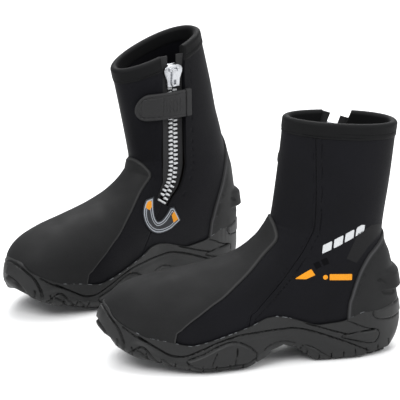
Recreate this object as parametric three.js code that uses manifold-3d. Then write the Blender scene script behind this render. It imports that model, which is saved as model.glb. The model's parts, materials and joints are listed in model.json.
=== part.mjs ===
// A pair of ankle-high neoprene dive boots with rubber soles and side zips.
// Millimetres, +Z up. Both boots stand on the floor with their toes towards -X: the left boot
// along X, the right boot behind it, turned, with its shaft flexed forward.
//
// A boot is drawn in its own frame: s runs from the back of the heel to the toe, lat from the
// boot's middle plane to its outer side, z up from the floor. Outlines are drawn on a base size
// and brought to the driving dimensions by fit(); flex() then leans the shaft.

import * as THREE from "three";
import { mergeVertices } from "three/addons/utils/BufferGeometryUtils.js";
import Module from "manifold-3d";

const wasm = await Module();
wasm.setup();

// ---------------------------------------------------------------- driving dimensions
const BOOT_LENGTH = 298;        // over the sole, heel to toe
const FOOT_WIDTH = 100;         // over the sole at the ball of the foot
const ANKLE_HEIGHT = 121;       // floor to the narrowest place above the heel
const SHAFT_HEIGHT = 239;       // floor to the front of the collar
const NEOPRENE = 6;             // thickness of the panels
const RUBBER_SKIN = 1.8;        // toe guard and heel cap
const INSOLE = 4;               // thickness of the footbed
const GAP = 0.3;                // clearance between pieces that touch
const HEM_HEIGHT = 15;          // folded band round the collar
const HEM_SWELL = 0.8;          // how far the band stands proud on each side
const LEDGE_REACH = 30;         // fin strap ledge, from the heel's back to where it fades out
const LEDGE_HALF = 32;          // half of its width there, on the base size

const TOOTH_REACH = 5.2;        // zip centre to the outer edge of one row of teeth
const TOOTH_DEPTH = 3.8;
const TOOTH_LENGTH = 2.6;       // along the zip
const TOOTH_PITCH = 4.6;
const ZIP_CORE = 0.7;           // half of the free space between the two rows
const BEAD = 1.4;               // width of the cord that carries the teeth
const TAPE = 1;                 // thickness of the zip tape
const TAPE_LEVEL = -3.5;        // middle of the tape, below the outer surface
const SLOT_HALF = 12.3;         // half of the opening that the zip closes
const SLOT_END_HALF = 7;        // the same at its lower end
const NOTCH_HALF = 15;          // the same at the collar
const NOTCH_DEPTH = 24;
const SLIDER_LENGTH = 23;
const SLIDER_TOP_HALF = 11;
const SLIDER_FOOT_HALF = 7.2;
const SLIDER_PLATE = 1.3;
const SLIDER_DOWN = 25;         // collar to the middle of the closed slider, along the zip
const PULL_LENGTH = 18;
const PULL_WIDTH = 6.2;
const PULL_THICK = 2;
const FLAP = 4.2;               // water flap behind the zip, over its hollow
const FLAP_MARGIN = 5;          // how far it reaches past the opening
const FLAP_START = 8;           // its upper end, below the folded hem
const TEETH_START = 14;         // collar to the first tooth, along the zip
const STOP_LENGTH = 3;          // bottom stop, along the zip

const STRAP_WIDTH = 28;         // closing strap, along the zip
const STRAP_REACH = 38;         // zip centre to the round tip
const STRAP_ROOT = 10.3;        // zip centre to the hinge end
const ROOT_MARGIN = 5;          // strap's root past the opening
const STRAP_THICK = 2.5;
const STRAP_DOWN = 54;          // collar to the middle of the strap, along the zip
const PATCH = 1;                // thickness of the hook and loop patches
const PATCH_LENGTH = 18;
const PATCH_WIDTH = 20;
const PATCH_INSET = 5;          // strap's tip to its patch
const BADGE = 1;                // thickness of the moulded ankle badge

const RIGHT_PLACE = [-112, 285];   // right heel from the left heel, in X and Y
const RIGHT_TURN = 30;             // degrees about Z
const LEFT_FLEX = 0;               // degrees the shaft leans forward of its moulded shape
const RIGHT_FLEX = 20;

// ---------------------------------------------------------------- the form of the upper
// Each station is a ring across the boot, from its front or top point to its back or under
// point: front s, z; back s, z; half width outside, inside; where it is widest along the
// ring; roundness of the front half and of the back half (2 is an ellipse, more is squarer).
const STATIONS = [
  [117, 239, 7, 230, 28, 28, 0.55, 2.0, 2.2],
  [122, 190, 13, 176, 31, 31, 0.55, 2.0, 2.2],
  [128, 143, 20, 121, 33, 33, 0.55, 2.0, 2.2],
  [131, 134, 14, 98, 35, 35, 0.55, 2.0, 2.2],
  [135, 127, 9, 76, 36, 36, 0.55, 2.1, 2.3],
  [140, 120, 6, 50, 36, 35, 0.52, 2.2, 2.3],
  [145, 115, 18, 29, 36, 34, 0.52, 2.3, 2.6],
  [152, 109, 62, 24, 37, 33, 0.52, 2.3, 3.5],
  [163, 102, 110, 27, 39, 34, 0.55, 2.3, 3.8],
  [182, 95, 152, 22, 45, 40, 0.6, 2.2, 4.0],
  [210, 88.5, 196, 16, 48.5, 45, 0.62, 2.2, 4.0],
  [240, 84, 232, 18, 43, 41, 0.6, 2.2, 3.6],
  [266, 77, 260, 27, 33, 33, 0.56, 2.2, 3.0],
  [283, 67, 279, 38, 20, 22, 0.5, 2.1, 2.4],
  [292, 56, 289, 47, 6, 6, 0.5, 2.0, 2.0],
];
const RINGS_PER_STATION = 1;
const INSIDE_END = 13;          // station where the hollow inside ends, short of the toe
const RING_POINTS = 20;
const BEND_STEPS = 5;           // of the zip's curved lower end
const FLAP_STEPS = 12;          // of the water flap's edges
const BASE = { length: 298, width: 100, ankle: 121, shaft: 239 };

const SOLE_OUTER = [[0, 4], [4, 12], [13, 20], [26, 29], [45, 34], [70, 36], [100, 36], [130, 41],
  [160, 48], [190, 52], [215, 51], [240, 46], [260, 38], [275, 29], [287, 19], [295, 9], [298, 3]];
const SOLE_INNER = [[0, 4], [4, 12], [13, 20], [26, 28.5], [45, 33], [70, 34], [100, 32], [130, 34],
  [160, 41], [190, 47.5], [215, 47.5], [240, 44], [260, 38], [275, 30], [287, 21], [295, 11], [298, 3]];
const SOLE_TOP = [[0, 56], [13, 51], [27, 48], [45, 48], [55, 44], [64, 40], [90, 38.4], [105, 44],
  [118, 49], [130, 51.6], [141, 51], [155, 45], [172, 40], [197, 33], [213, 29], [220, 30], [237, 34],
  [257, 37], [274, 45], [285, 51.5], [291, 60], [298, 62]];
const SOLE_UNDER = [[0, 23], [4, 11.6], [13, 5], [26, 1.5], [45, 0], [90, 0], [100, 7], [111, 15.7],
  [122, 18.3], [134, 14.3], [141, 8], [152, 3], [160, 0], [205, 0], [227, 5], [253, 12],
  [273, 19.4], [283, 24], [292, 32], [298, 42]];

const OUTER_SEAM = [[91, 260], [91, 150], [98, 122], [115, 95], [135, 73], [150, 58], [157, 47], [160, -20]];
const ZIP_STRAIGHT = [[60, 234], [101, 122]];
const ZIP_BEND = [[107, 112], [113, 102], [120, 92]];
const INNER_SEAM = [[134, 72], [147, 56], [156, 44], [160, -20]];
const TOE_GUARD_EDGE = [[140, 150], [129, 141], [125, 130], [126, 120], [141, 104], [154, 92], [168, 82],
  [181, 73], [194, 66], [205, 59], [214, 53], [223, 45], [228, 36], [229, -20]];
const HEEL_CAP_EDGE = [[12, 124], [20, 121], [28, 114], [39, 106], [48, 93], [53, 80],
  [57, 66], [60, 50], [61, -20]];
const LEDGE = [[32, 86], [11, 89], [2, 84], [0, 76], [7, 66], [32, 68]];
const FLEX_PIVOT = [125, 118];
const FLEX_BACK = [165, 200];   // where the bend fades out behind the ankle, degrees about the pivot
const FLEX_FRONT = [0, 60];     // and over the instep

// ---------------------------------------------------------------- small helpers
const rad = THREE.MathUtils.degToRad;
const smooth = (x, low, high) => THREE.MathUtils.smoothstep(x, low, high);

/** Base outline point to real size. */
function fit([s, z]) {
  const low = z * ANKLE_HEIGHT / BASE.ankle;
  const high = ANKLE_HEIGHT + (z - BASE.ankle) * (SHAFT_HEIGHT - ANKLE_HEIGHT) / (BASE.shaft - BASE.ankle);
  return [s * BOOT_LENGTH / BASE.length, z < BASE.ankle ? low : high];
}

/** Lean what is above the ankle forward, about a pivot at the front of the ankle. */
function flex([s, z], lean) {
  const [ps, pz] = fit(FLEX_PIVOT);
  const [ds, dz] = [s - ps, z - pz];
  let angle = THREE.MathUtils.radToDeg(Math.atan2(dz, ds));
  if (angle < -60) angle += 360;
  const share = angle < 90 ? smooth(angle, ...FLEX_FRONT) : 1 - smooth(angle, ...FLEX_BACK);
  const turn = rad(lean) * share;
  return [ps + ds * Math.cos(turn) + dz * Math.sin(turn), pz + dz * Math.cos(turn) - ds * Math.sin(turn)];
}

/** Value of a [position, value] table at a place, by straight lines. */
function between(table, at) {
  const next = Math.max(1, table.findIndex(([position]) => position >= at));
  const [[p0, v0], [p1, v1]] = [table[next - 1], table[next]];
  return v0 + (v1 - v0) * (at - p0) / (p1 - p0);
}

/** Closed mesh over a row of closed rings, with a fan over each end. */
function skin(rings) {
  const count = rings[0].length;
  const points = rings.flat();
  const faces = [];
  const ends = [rings[0], rings.at(-1)].map((ring) => ring
    .reduce((sum, point) => sum.add(point), new THREE.Vector3()).divideScalar(count));
  for (let i = 0; i < rings.length - 1; i++) {
    for (let j = 0; j < count; j++) {
      const [a, b] = [i * count + j, i * count + (j + 1) % count];
      faces.push(a, b, b + count, a, b + count, a + count);
    }
  }
  const [first, last] = [points.push(ends[0]) - 1, points.push(ends[1]) - 1];
  const top = (rings.length - 1) * count;
  for (let j = 0; j < count; j++) {
    faces.push((j + 1) % count, j, first, top + j, top + (j + 1) % count, last);
  }
  const geometry = new THREE.BufferGeometry().setFromPoints(points);
  geometry.setIndex(volume(points, faces) < 0 ? faces.reverse() : faces);
  return geometry;
}

/** Signed volume, which is negative when the faces point inwards. */
function volume(points, faces) {
  let sum = 0;
  for (let i = 0; i < faces.length; i += 3) {
    const [a, b, c] = [points[faces[i]], points[faces[i + 1]], points[faces[i + 2]]];
    sum += a.dot(b.clone().cross(c)) / 6;
  }
  return sum;
}

/** A closed geometry as a solid that can be joined and cut. */
function solid(geometry) {
  const bare = geometry.clone();
  bare.deleteAttribute("normal");
  bare.deleteAttribute("uv");
  const merged = mergeVertices(bare, 1e-4);
  return new wasm.Manifold(new wasm.Mesh({
    numProp: 3,
    vertProperties: Float32Array.from(merged.attributes.position.array),
    triVerts: Uint32Array.from(merged.index.array),
  }));
}

/** A solid back as a geometry; the left boot is the right boot's mirror image. */
function geometryOf(body, mirrored) {
  const mesh = body.getMesh();
  const geometry = new THREE.BufferGeometry();
  geometry.setAttribute("position", new THREE.BufferAttribute(Float32Array.from(mesh.vertProperties), 3));
  geometry.setIndex(Array.from(mirrored ? mesh.triVerts.toReversed() : mesh.triVerts));
  if (mirrored) geometry.scale(1, -1, 1);
  geometry.computeVertexNormals();
  return geometry;
}

/** Box from its centre and size, as a solid. */
function box(size, centre) {
  return solid(new THREE.BoxGeometry(...size).translate(...centre));
}

/** Extruded outline, as a solid, from low to high along the outline's own normal. */
function slab(points, low, high) {
  const shape = new THREE.Shape(points.map(([x, y]) => new THREE.Vector2(x, y)));
  const body = new THREE.ExtrudeGeometry(shape, { depth: high - low, bevelEnabled: false });
  return solid(body.translate(0, 0, low));
}

/** Solid that stands on a side outline of [s, z] points, from lat low to lat high. */
function sidePrism(points, low, high) {
  const turned = new THREE.Matrix4().makeBasis(
    new THREE.Vector3(-1, 0, 0), new THREE.Vector3(0, 0, 1), new THREE.Vector3(0, 1, 0));
  const shape = new THREE.Shape(points.map(([s, z]) => new THREE.Vector2(s, z)));
  const geometry = new THREE.ExtrudeGeometry(shape, { depth: high - low, bevelEnabled: false });
  return solid(geometry.translate(0, 0, low).applyMatrix4(turned));
}

// ---------------------------------------------------------------- one boot's surfaces
/** Ring of the upper's form at a station position, grown outwards by some millimetres. */
function ring(at, grow, lean) {
  const index = Math.min(Math.floor(at), STATIONS.length - 2);
  const near = [index - 1, index, index + 1, index + 2]
    .map((k) => STATIONS[THREE.MathUtils.clamp(k, 0, STATIONS.length - 1)]);
  const row = near[1].map((_, column) => catmull(near.map((station) => station[column]), at - index));
  const front = new THREE.Vector2(...fit(row.slice(0, 2)));
  const back = new THREE.Vector2(...fit(row.slice(2, 4)));
  const along = back.clone().sub(front).normalize();
  front.addScaledVector(along, -grow);
  back.addScaledVector(along, grow);
  const [outer, inner, widest, frontRound, backRound] = row.slice(4);
  const scale = FOOT_WIDTH / BASE.width;
  return Array.from({ length: RING_POINTS }, (_, k) => {
    const turn = 2 * Math.PI * k / RING_POINTS;
    const [c, d] = [Math.cos(turn), Math.sin(turn)];
    const power = 2 / (c > 0 ? frontRound : backRound);
    const reach = Math.abs(c) ** power;
    const share = c > 0 ? widest * (1 - reach) : widest + (1 - widest) * reach;
    const half = (d > 0 ? outer : inner) * scale + grow;
    const width = Math.abs(d) < 1e-9 ? 0 : Math.sign(d) * Math.abs(d) ** power * half;
    const [s, z] = flex(front.clone().lerp(back, share).toArray(), lean);
    return new THREE.Vector3(-s, width, z);
  });
}

/** Smooth curve through four values, between the middle two. */
function catmull([p0, p1, p2, p3], t) {
  const [v0, v1] = [(p2 - p0) / 2, (p3 - p1) / 2];
  return (2 * p1 - 2 * p2 + v0 + v1) * t ** 3 + (-3 * p1 + 3 * p2 - 2 * v0 - v1) * t ** 2 + v0 * t + p1;
}

/** Rings of the form from the collar to the toe, or to an earlier station. */
function formRings(grow, lean, last = STATIONS.length - 1) {
  const count = Math.floor(last * RINGS_PER_STATION + 1);
  const places = Array.from({ length: count }, (_, k) => k / RINGS_PER_STATION);
  if (last === STATIONS.length - 1 && places.at(-1) < last) places.push(last);
  return places.map((place) => ring(place, grow, lean));
}

/** The form as a solid, its open end carried up past the collar by lift. */
function form(grow, lean, { lift = 0, last } = {}) {
  const rings = formRings(grow, lean, last);
  const up = rings[0][0].clone().sub(rings[1][0]).normalize().multiplyScalar(lift);
  return solid(skin(lift > 0 ? [rings[0].map((point) => point.clone().add(up)), ...rings] : rings));
}

/** Skin of the upper between two distances from its form. */
function layer(low, high, lean) {
  return form(high, lean, { lift: 0 }).subtract(form(low, lean, { lift: 20 }));
}

/** Point and outward normal on the inner side of the form, straight in from a side place. */
function innerSurface([s, z], lean) {
  const rings = formRings(0, lean);
  const mesh = new THREE.Mesh(skin(rings), new THREE.MeshBasicMaterial({ side: THREE.DoubleSide }));
  const ray = new THREE.Raycaster(new THREE.Vector3(-s, -500, z), new THREE.Vector3(0, 1, 0));
  const hit = ray.intersectObject(mesh)[0];
  return { point: hit.point, normal: hit.face.normal.clone() };
}

// ---------------------------------------------------------------- the zip's line
/** Frames down the zip: point, and directions to the rear, up the zip and outwards. */
function zipFrames(lean) {
  const place = (base) => innerSurface(flex(fit(base), lean), lean);
  const [top, knee] = ZIP_STRAIGHT.map(place);
  const bend = ZIP_BEND.map(place);
  const line = new THREE.LineCurve3(top.point, knee.point);
  const curve = new THREE.CatmullRomCurve3([knee, ...bend].map(({ point }) => point));
  const [lineLength, curveLength] = [line.getLength(), curve.getLength()];
  const middle = place([0, 1].map((k) => (ZIP_STRAIGHT[0][k] + ZIP_STRAIGHT[1][k]) / 2)).normal;
  const end = bend.at(-1).normal;
  const at = (distance) => {
    const past = THREE.MathUtils.clamp((distance - lineLength) / curveLength, 0, 1);
    const up = past > 0 ? curve.getTangentAt(past).negate() : top.point.clone().sub(knee.point).normalize();
    const point = past > 0 ? curve.getPointAt(past) : knee.point.clone();
    if (past === 0) point.addScaledVector(up, lineLength - distance);
    point.addScaledVector(up, Math.min(0, lineLength + curveLength - distance));
    const out = middle.clone().lerp(end, smooth(past, 0, 1)).normalize();
    out.addScaledVector(up, -out.dot(up)).normalize();
    return { point, up, out, rear: up.clone().cross(out), distance };
  };
  return { at, lineLength, length: lineLength + curveLength };
}

/** Place in a zip frame, measured to the rear, up the zip and outwards. */
function inFrame({ point, rear, up, out }, [x, y, n]) {
  return point.clone().addScaledVector(rear, x).addScaledVector(up, y).addScaledVector(out, n);
}

/** Solid swept down the zip, from a section of [rear, outward] points that may vary on the way. */
function sweep(zip, from, to, section) {
  const bends = Array.from({ length: BEND_STEPS + 1 }, (_, k) => zip.lineLength
    + (zip.length - zip.lineLength) * k / BEND_STEPS);
  const passed = (stop) => stop > from + 0.1 && stop < to - 0.1;
  const inside = [0, NOTCH_DEPTH / 2, NOTCH_DEPTH, ...bends].filter(passed);
  const rings = [from, ...inside, to].map((distance) => {
    const frame = zip.at(distance);
    return section(distance).map(([x, n]) => inFrame(frame, [x, 0, n]));
  });
  return solid(skin(rings));
}

const oblong = (x0, x1, n0, n1) => [[x0, n0], [x1, n0], [x1, n1], [x0, n1]];

/** Solid drawn in a zip frame, put in its place. */
function placed(body, frame) {
  const matrix = new THREE.Matrix4().makeBasis(frame.rear, frame.up, frame.out).setPosition(frame.point);
  return solid(geometryOf(body, false).applyMatrix4(matrix));
}

/** Half of the zip opening at a distance down from the collar. */
function slotHalf(zip, distance) {
  const notch = (NOTCH_HALF - SLOT_HALF) * (1 - smooth(distance, 0, NOTCH_DEPTH));
  const closing = (SLOT_HALF - SLOT_END_HALF) * smooth(distance, zip.lineLength, zip.length);
  return SLOT_HALF + notch - closing;
}

// ---------------------------------------------------------------- the pieces
/** Sole as a solid block, its top and sides grown by a clearance. */
function soleBlock(grow) {
  const places = SOLE_OUTER.concat(SOLE_TOP, SOLE_UNDER).map(([s]) => s);
  const stops = [...new Set(places)].sort((a, b) => a - b);
  const scale = FOOT_WIDTH / BASE.width;
  const rings = stops.map((s) => {
    const outer = between(SOLE_OUTER, s) * scale + grow;
    const inner = between(SOLE_INNER, s) * scale + grow;
    const [x, top] = fit([s, between(SOLE_TOP, s)]);
    const under = fit([s, between(SOLE_UNDER, s)])[1];
    const waist = under + (top - under) * 0.3;
    const side = (half, sign) => [[half * 0.9, under], [half, waist], [half - 1.2, top + grow]]
      .map(([lat, z]) => new THREE.Vector3(-x, sign * lat, z));
    return [...side(outer, 1), ...side(inner, -1).reverse()];
  });
  return solid(skin(rings));
}

/** Insole: the lowest layer of the inside of the upper. */
function insole(lean) {
  const room = form(-NEOPRENE - GAP, lean, { last: INSIDE_END });
  const floor = STATIONS.slice(6, 13).map((station) => fit(station.slice(2, 4)));
  const rise = NEOPRENE + GAP + INSOLE;
  const line = floor.map(([s, z]) => [s, z + rise]);
  const outline = [[-20, line[0][1]], ...line, [400, line.at(-1)[1]], [400, -20], [-20, -20]];
  return room.intersect(sidePrism(outline, -200, 200));
}

/** The two neoprene panels, split at the outer seam and down the zip and the inner seam. */
function panels(lean, slot) {
  const side = (points) => points.map((point) => flex(fit(point), lean));
  const hemLine = collarLine(lean, HEM_HEIGHT + GAP);
  const shell = form(0, lean)
    .subtract(form(-NEOPRENE, lean, { lift: 30, last: INSIDE_END }))
    .subtract(sidePrism(hemLine, -200, 200))
    .subtract(slot);
  const seams = [OUTER_SEAM, [[52, 262], ...ZIP_STRAIGHT, ...ZIP_BEND, ...INNER_SEAM]];
  const part = (shift, edge) => seams
    .map((seam, k) => {
      const line = side(seam).map(([s, z]) => [s + shift, z]);
      const outline = [...line, [edge, -20], [edge, 400]];
      return k === 0 ? sidePrism(outline, 0, 200) : sidePrism(outline, -200, 0);
    })
    .reduce((all, one) => all.add(one));
  return {
    front_panel: shell.intersect(part(GAP / 2, 500)),
    rear_panel: shell.intersect(part(-GAP / 2, -200)),
  };
}

/** Side outline of everything that is less than some distance below the collar. */
function collarLine(lean, depth) {
  const [front, back] = [STATIONS[0].slice(0, 2), STATIONS[0].slice(2, 4)]
    .map((point) => new THREE.Vector2(...flex(fit(point), lean)));
  const along = front.clone().sub(back).normalize();
  const down = new THREE.Vector2(along.y, -along.x);
  const corner = (point, out, drop) => point.clone()
    .addScaledVector(along, out)
    .addScaledVector(down, drop)
    .toArray();
  return [corner(back, -60, depth), corner(front, 60, depth), corner(front, 60, -60), corner(back, -60, -60)];
}

/** Folded band round the collar, open at the zip. */
function collarHem(lean, slot) {
  const room = form(-NEOPRENE - HEM_SWELL, lean, { lift: 30, last: INSIDE_END });
  const band = form(HEM_SWELL, lean).subtract(room);
  return band.intersect(sidePrism(collarLine(lean, HEM_HEIGHT), -200, 200)).subtract(slot);
}

/** Rubber guard over the toe and the instep. */
function toeGuard(lean, block) {
  const edge = TOE_GUARD_EDGE.map((point) => flex(fit(point), lean));
  const region = sidePrism([...edge, [500, -20], [500, edge[0][1]]], -200, 200);
  return layer(GAP, GAP + RUBBER_SKIN, lean).intersect(region).subtract(block);
}

/** Rubber cap round the heel, with the ledge that keeps a fin strap up. */
function heelCap(lean, block) {
  const edge = HEEL_CAP_EDGE.map((point) => flex(fit(point), lean));
  const region = sidePrism([...edge, [-100, -20], [-100, edge[0][1]]], -200, 200);
  const half = (LEDGE_HALF * FOOT_WIDTH) / BASE.width;
  const round = new THREE.CylinderGeometry(1, 1, 300, 48).rotateX(Math.PI / 2)
    .scale(LEDGE_REACH, half, 1).translate(-LEDGE_REACH, 0, 0);
  const ledge = solid(round)
    .intersect(sidePrism(LEDGE.map((point) => flex(fit(point), lean)), -200, 200))
    .subtract(form(GAP + RUBBER_SKIN / 2, lean, { lift: 20 }));
  return layer(GAP, GAP + RUBBER_SKIN, lean).intersect(region).add(ledge).subtract(block);
}

/** One row of zip teeth on its cord. rowSide is +1 at the rear and -1 at the front. */
function teethRow(zip, rowSide, from, to) {
  const low = TAPE_LEVEL - TOOTH_DEPTH / 2 + 0.2;
  const depth = TOOTH_DEPTH - 0.4;
  const edges = [TOOTH_REACH - BEAD, TOOTH_REACH].map((x) => x * rowSide).sort((a, b) => a - b);
  const bead = sweep(zip, from, to, () => oblong(...edges, low, low + TOOTH_DEPTH));
  const offset = rowSide > 0 ? TOOTH_PITCH / 2 : 0;
  const teeth = [bead];
  for (let at = from + TOOTH_LENGTH / 2 + offset; at < to - TOOTH_LENGTH / 2; at += TOOTH_PITCH) {
    const reach = TOOTH_REACH - 0.8 - ZIP_CORE;
    const centre = [rowSide * (ZIP_CORE + reach / 2), 0, low + TOOTH_DEPTH / 2];
    const tooth = box([reach, TOOTH_LENGTH, depth], centre);
    teeth.push(placed(tooth, zip.at(at)));
  }
  return wasm.Manifold.union(teeth);
}

/** Half of the zip tape. */
function tape(zip, rowSide) {
  return sweep(zip, 4, zip.length, (distance) => oblong(
    ...[TOOTH_REACH + GAP, slotHalf(zip, distance) - GAP].map((x) => x * rowSide).sort((a, b) => a - b),
    TAPE_LEVEL - TAPE / 2, TAPE_LEVEL + TAPE / 2));
}

/** Zip slider: two plates joined by a thin neck, with side flanges slit for the tape. */
function slider() {
  const half = SLIDER_LENGTH / 2;
  const right = [
    [SLIDER_FOOT_HALF, -half],
    [SLIDER_FOOT_HALF + 0.5, -half * 0.35],
    [SLIDER_TOP_HALF - 0.4, half * 0.3],
    [SLIDER_TOP_HALF, half * 0.55],
    [SLIDER_TOP_HALF - 1.2, half * 0.78],
    [SLIDER_TOP_HALF / 2, half],
  ];
  const outline = [...right, ...right.map(([x, y]) => [-x, y]).reverse()];
  const channel = { low: TAPE_LEVEL - TOOTH_DEPTH / 2 - 0.2, high: TAPE_LEVEL + TOOTH_DEPTH / 2 + 0.5 };
  const middle = (channel.low + channel.high) / 2;
  const lugAt = PULL_WIDTH / 2 + GAP + 1;
  const lug = (sign) => box([2, 4, 2.6], [sign * lugAt, half * 0.6, channel.high + SLIDER_PLATE + 1.2]);
  return slab(outline, channel.low - SLIDER_PLATE, channel.high + SLIDER_PLATE)
    .subtract(box([2 * (TOOTH_REACH + GAP), 60, channel.high - channel.low], [0, 0, middle]))
    .subtract(box([60, 60, TAPE + 2 * GAP], [0, 0, TAPE_LEVEL]))
    .add(box([2 * (ZIP_CORE - GAP), 4, channel.high - channel.low + 1], [0, half - 3, middle]))
    .add(lug(1))
    .add(lug(-1));
}

const SLIDER_TOP = TAPE_LEVEL + TOOTH_DEPTH / 2 + 0.5 + SLIDER_PLATE;
const PULL_AXIS = [0, SLIDER_LENGTH * 0.3, SLIDER_TOP + GAP + PULL_THICK / 2];

/** Pull tab that lies on the slider, with a hole near its lower end. */
function pull() {
  const [, axisUp, level] = PULL_AXIS;
  const half = PULL_WIDTH / 2;
  const foot = axisUp + GAP - PULL_LENGTH;
  const outline = [[-half, axisUp + GAP], [-half, foot + half], [-half * 0.6, foot], [half * 0.6, foot],
    [half, foot + half], [half, axisUp + GAP]];
  return slab(outline, level - PULL_THICK / 2, level + PULL_THICK / 2)
    .subtract(box([half, 5, 10], [0, foot + 4.5, level]));
}

/** Patch of the layer between two heights over the form, inside an outline in a zip frame. */
function patch(frame, outline, low, high, lean) {
  const side = outline.map(([x, y]) => {
    const point = inFrame(frame, [x, y, 0]);
    return [-point.x, point.z];
  });
  return layer(low, high, lean).intersect(sidePrism(side, -200, 0));
}

const STRAP_LOW = PATCH * 2 + GAP * 3;   // strap's inner face over the form

/** Outline of a piece of the strap, from the hinge end to a round tip, rear to front. */
function strapOutline(rear, front, width) {
  const half = width / 2;
  const arc = Array.from({ length: 9 }, (_, k) => {
    const turn = rad(90 + 22.5 * k);
    return [-front + half * 0.75 + half * 0.75 * Math.cos(turn), half * Math.sin(turn)];
  });
  return [[rear, half], ...arc, [rear, -half]];
}

/** Pieces of the strap that closes over the zip. */
function strapPieces(zip, lean) {
  const frame = zip.at(STRAP_DOWN);
  const top = STRAP_LOW + STRAP_THICK;
  const half = STRAP_WIDTH / 2;
  const tip = PATCH_INSET - STRAP_REACH;
  const side = PATCH_WIDTH / 2;
  const patchOutline = [[tip + PATCH_LENGTH, side], [tip, side], [tip, -side], [tip + PATCH_LENGTH, -side]];
  const rootEnd = SLOT_HALF + ROOT_MARGIN;
  const root = (from) => [[from, half], [from, -half], [rootEnd, -half], [rootEnd, half]];
  return {
    closing_strap: patch(frame, strapOutline(STRAP_ROOT, STRAP_REACH, STRAP_WIDTH), STRAP_LOW, top, lean),
    strap_hook_patch: patch(frame, patchOutline, PATCH + 2 * GAP, 2 * PATCH + 2 * GAP, lean),
    strap_loop_patch: patch(frame, patchOutline, GAP, GAP + PATCH, lean),
    strap_root: patch(frame, root(SLOT_HALF + GAP), GAP, top, lean)
      .add(patch(frame, root(STRAP_ROOT + 2 * GAP), STRAP_LOW, top, lean)),
  };
}

/** Moulded U-shaped badge round the lower end of the zip. */
function ankleBadge(lean) {
  const [endS, endZ] = ZIP_BEND.at(-1);
  const shape = new THREE.Shape();
  shape.moveTo(18, 6);
  shape.quadraticCurveTo(30, -6, 25, -18);
  shape.quadraticCurveTo(16, -35, -8, -29);
  shape.lineTo(-21, -22);
  shape.lineTo(-13, -6);
  shape.lineTo(-8, -6);
  shape.quadraticCurveTo(2, -19, 9, -17);
  shape.quadraticCurveTo(15, -12, 8, 8);
  const side = shape.getPoints(4).map(({ x, y }) => flex(fit([endS + x, endZ + y]), lean));
  return layer(GAP, GAP + BADGE, lean).intersect(sidePrism(side, -200, 0));
}

/** Every piece of a right boot with its shaft leaning forward by some degrees. */
function bootPieces(lean) {
  const zip = zipFrames(lean);
  const slot = sweep(zip, -30, zip.length + GAP, (distance) => {
    const half = slotHalf(zip, distance);
    return [[-half, -14], [half, -14], [half, TAPE_LEVEL], [half, 9], [-half, 9], [-half, TAPE_LEVEL]];
  });
  const stopSection = () => oblong(-TOOTH_REACH, TOOTH_REACH, TAPE_LEVEL - 1.6, TAPE_LEVEL + 1.8);
  const block = soleBlock(GAP);
  const teethTo = zip.length - STOP_LENGTH;
  const sliderFrame = zip.at(SLIDER_DOWN);
  const gussetHalf = SLOT_HALF + FLAP_MARGIN;
  const start = HEM_HEIGHT + FLAP_START;
  const stepLength = (zip.length - start) / FLAP_STEPS;
  const stops = Array.from({ length: FLAP_STEPS + 1 }, (_, k) => start + stepLength * k);
  const edge = (sign) => stops.map((distance) => {
    const point = inFrame(zip.at(distance), [sign * gussetHalf, 0, 0]);
    return [-point.x, point.z];
  });
  const hollow = sweep(zip, 0, zip.length, () => oblong(4 - gussetHalf, gussetHalf - 4, -8, 4));
  const flap = layer(-NEOPRENE - GAP - FLAP, -NEOPRENE - GAP, lean)
    .intersect(sidePrism([...edge(1), ...edge(-1).reverse()], -200, -5))
    .subtract(sidePrism(collarLine(lean, HEM_HEIGHT + GAP), -200, 200))
    .subtract(hollow);
  return {
    sole: soleBlock(0).subtract(form(GAP, lean)),
    insole: insole(lean),
    ...panels(lean, slot),
    toe_guard: toeGuard(lean, block),
    heel_cap: heelCap(lean, block),
    collar_hem: collarHem(lean, slot),
    zip_tape_front: tape(zip, -1),
    zip_tape_rear: tape(zip, 1),
    zip_teeth_front: teethRow(zip, -1, TEETH_START, teethTo),
    zip_teeth_rear: teethRow(zip, 1, TEETH_START, teethTo),
    zip_bottom_stop: sweep(zip, teethTo + GAP, zip.length, stopSection),
    zip_gusset: flap,
    zip_slider: placed(slider(), sliderFrame),
    zip_pull: placed(pull(), sliderFrame),
    ...strapPieces(zip, lean),
    ankle_badge: ankleBadge(lean),
  };
}

// ---------------------------------------------------------------- finishes
const FINISH = {
  neoprene: { color: 0x26262c, roughness: 0.85, metalness: 0 },
  hem: { color: 0x2b2b30, roughness: 0.8, metalness: 0 },
  rubber: { color: 0x353535, roughness: 0.6, metalness: 0 },
  soleRubber: { color: 0x3a3a3a, roughness: 0.65, metalness: 0 },
  tape: { color: 0x17171a, roughness: 0.9, metalness: 0 },
  teeth: { color: 0xe6e8ea, roughness: 0.35, metalness: 0 },
  metal: { color: 0xc9ccd0, roughness: 0.25, metalness: 1 },
  foam: { color: 0x1d1d20, roughness: 0.95, metalness: 0 },
  badge: { color: 0x9aa0a4, roughness: 0.5, metalness: 0 },
};
const FINISH_OF = {
  sole: "soleRubber",
  insole: "foam",
  front_panel: "neoprene",
  rear_panel: "neoprene",
  toe_guard: "rubber",
  heel_cap: "rubber",
  collar_hem: "hem",
  zip_tape_front: "tape",
  zip_tape_rear: "tape",
  zip_teeth_front: "teeth",
  zip_teeth_rear: "teeth",
  zip_bottom_stop: "teeth",
  zip_gusset: "neoprene",
  zip_slider: "metal",
  zip_pull: "metal",
  closing_strap: "rubber",
  strap_hook_patch: "tape",
  strap_loop_patch: "tape",
  strap_root: "rubber",
  ankle_badge: "badge",
};

/** Group of one boot's named meshes. */
function boot(side, lean) {
  const group = new THREE.Group();
  for (const [name, body] of Object.entries(bootPieces(lean))) {
    const material = new THREE.MeshStandardMaterial(FINISH[FINISH_OF[name]]);
    const mesh = new THREE.Mesh(geometryOf(body, side === "left"), material);
    mesh.name = `${side}_${name}`;
    group.add(mesh);
  }
  return group;
}

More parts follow.
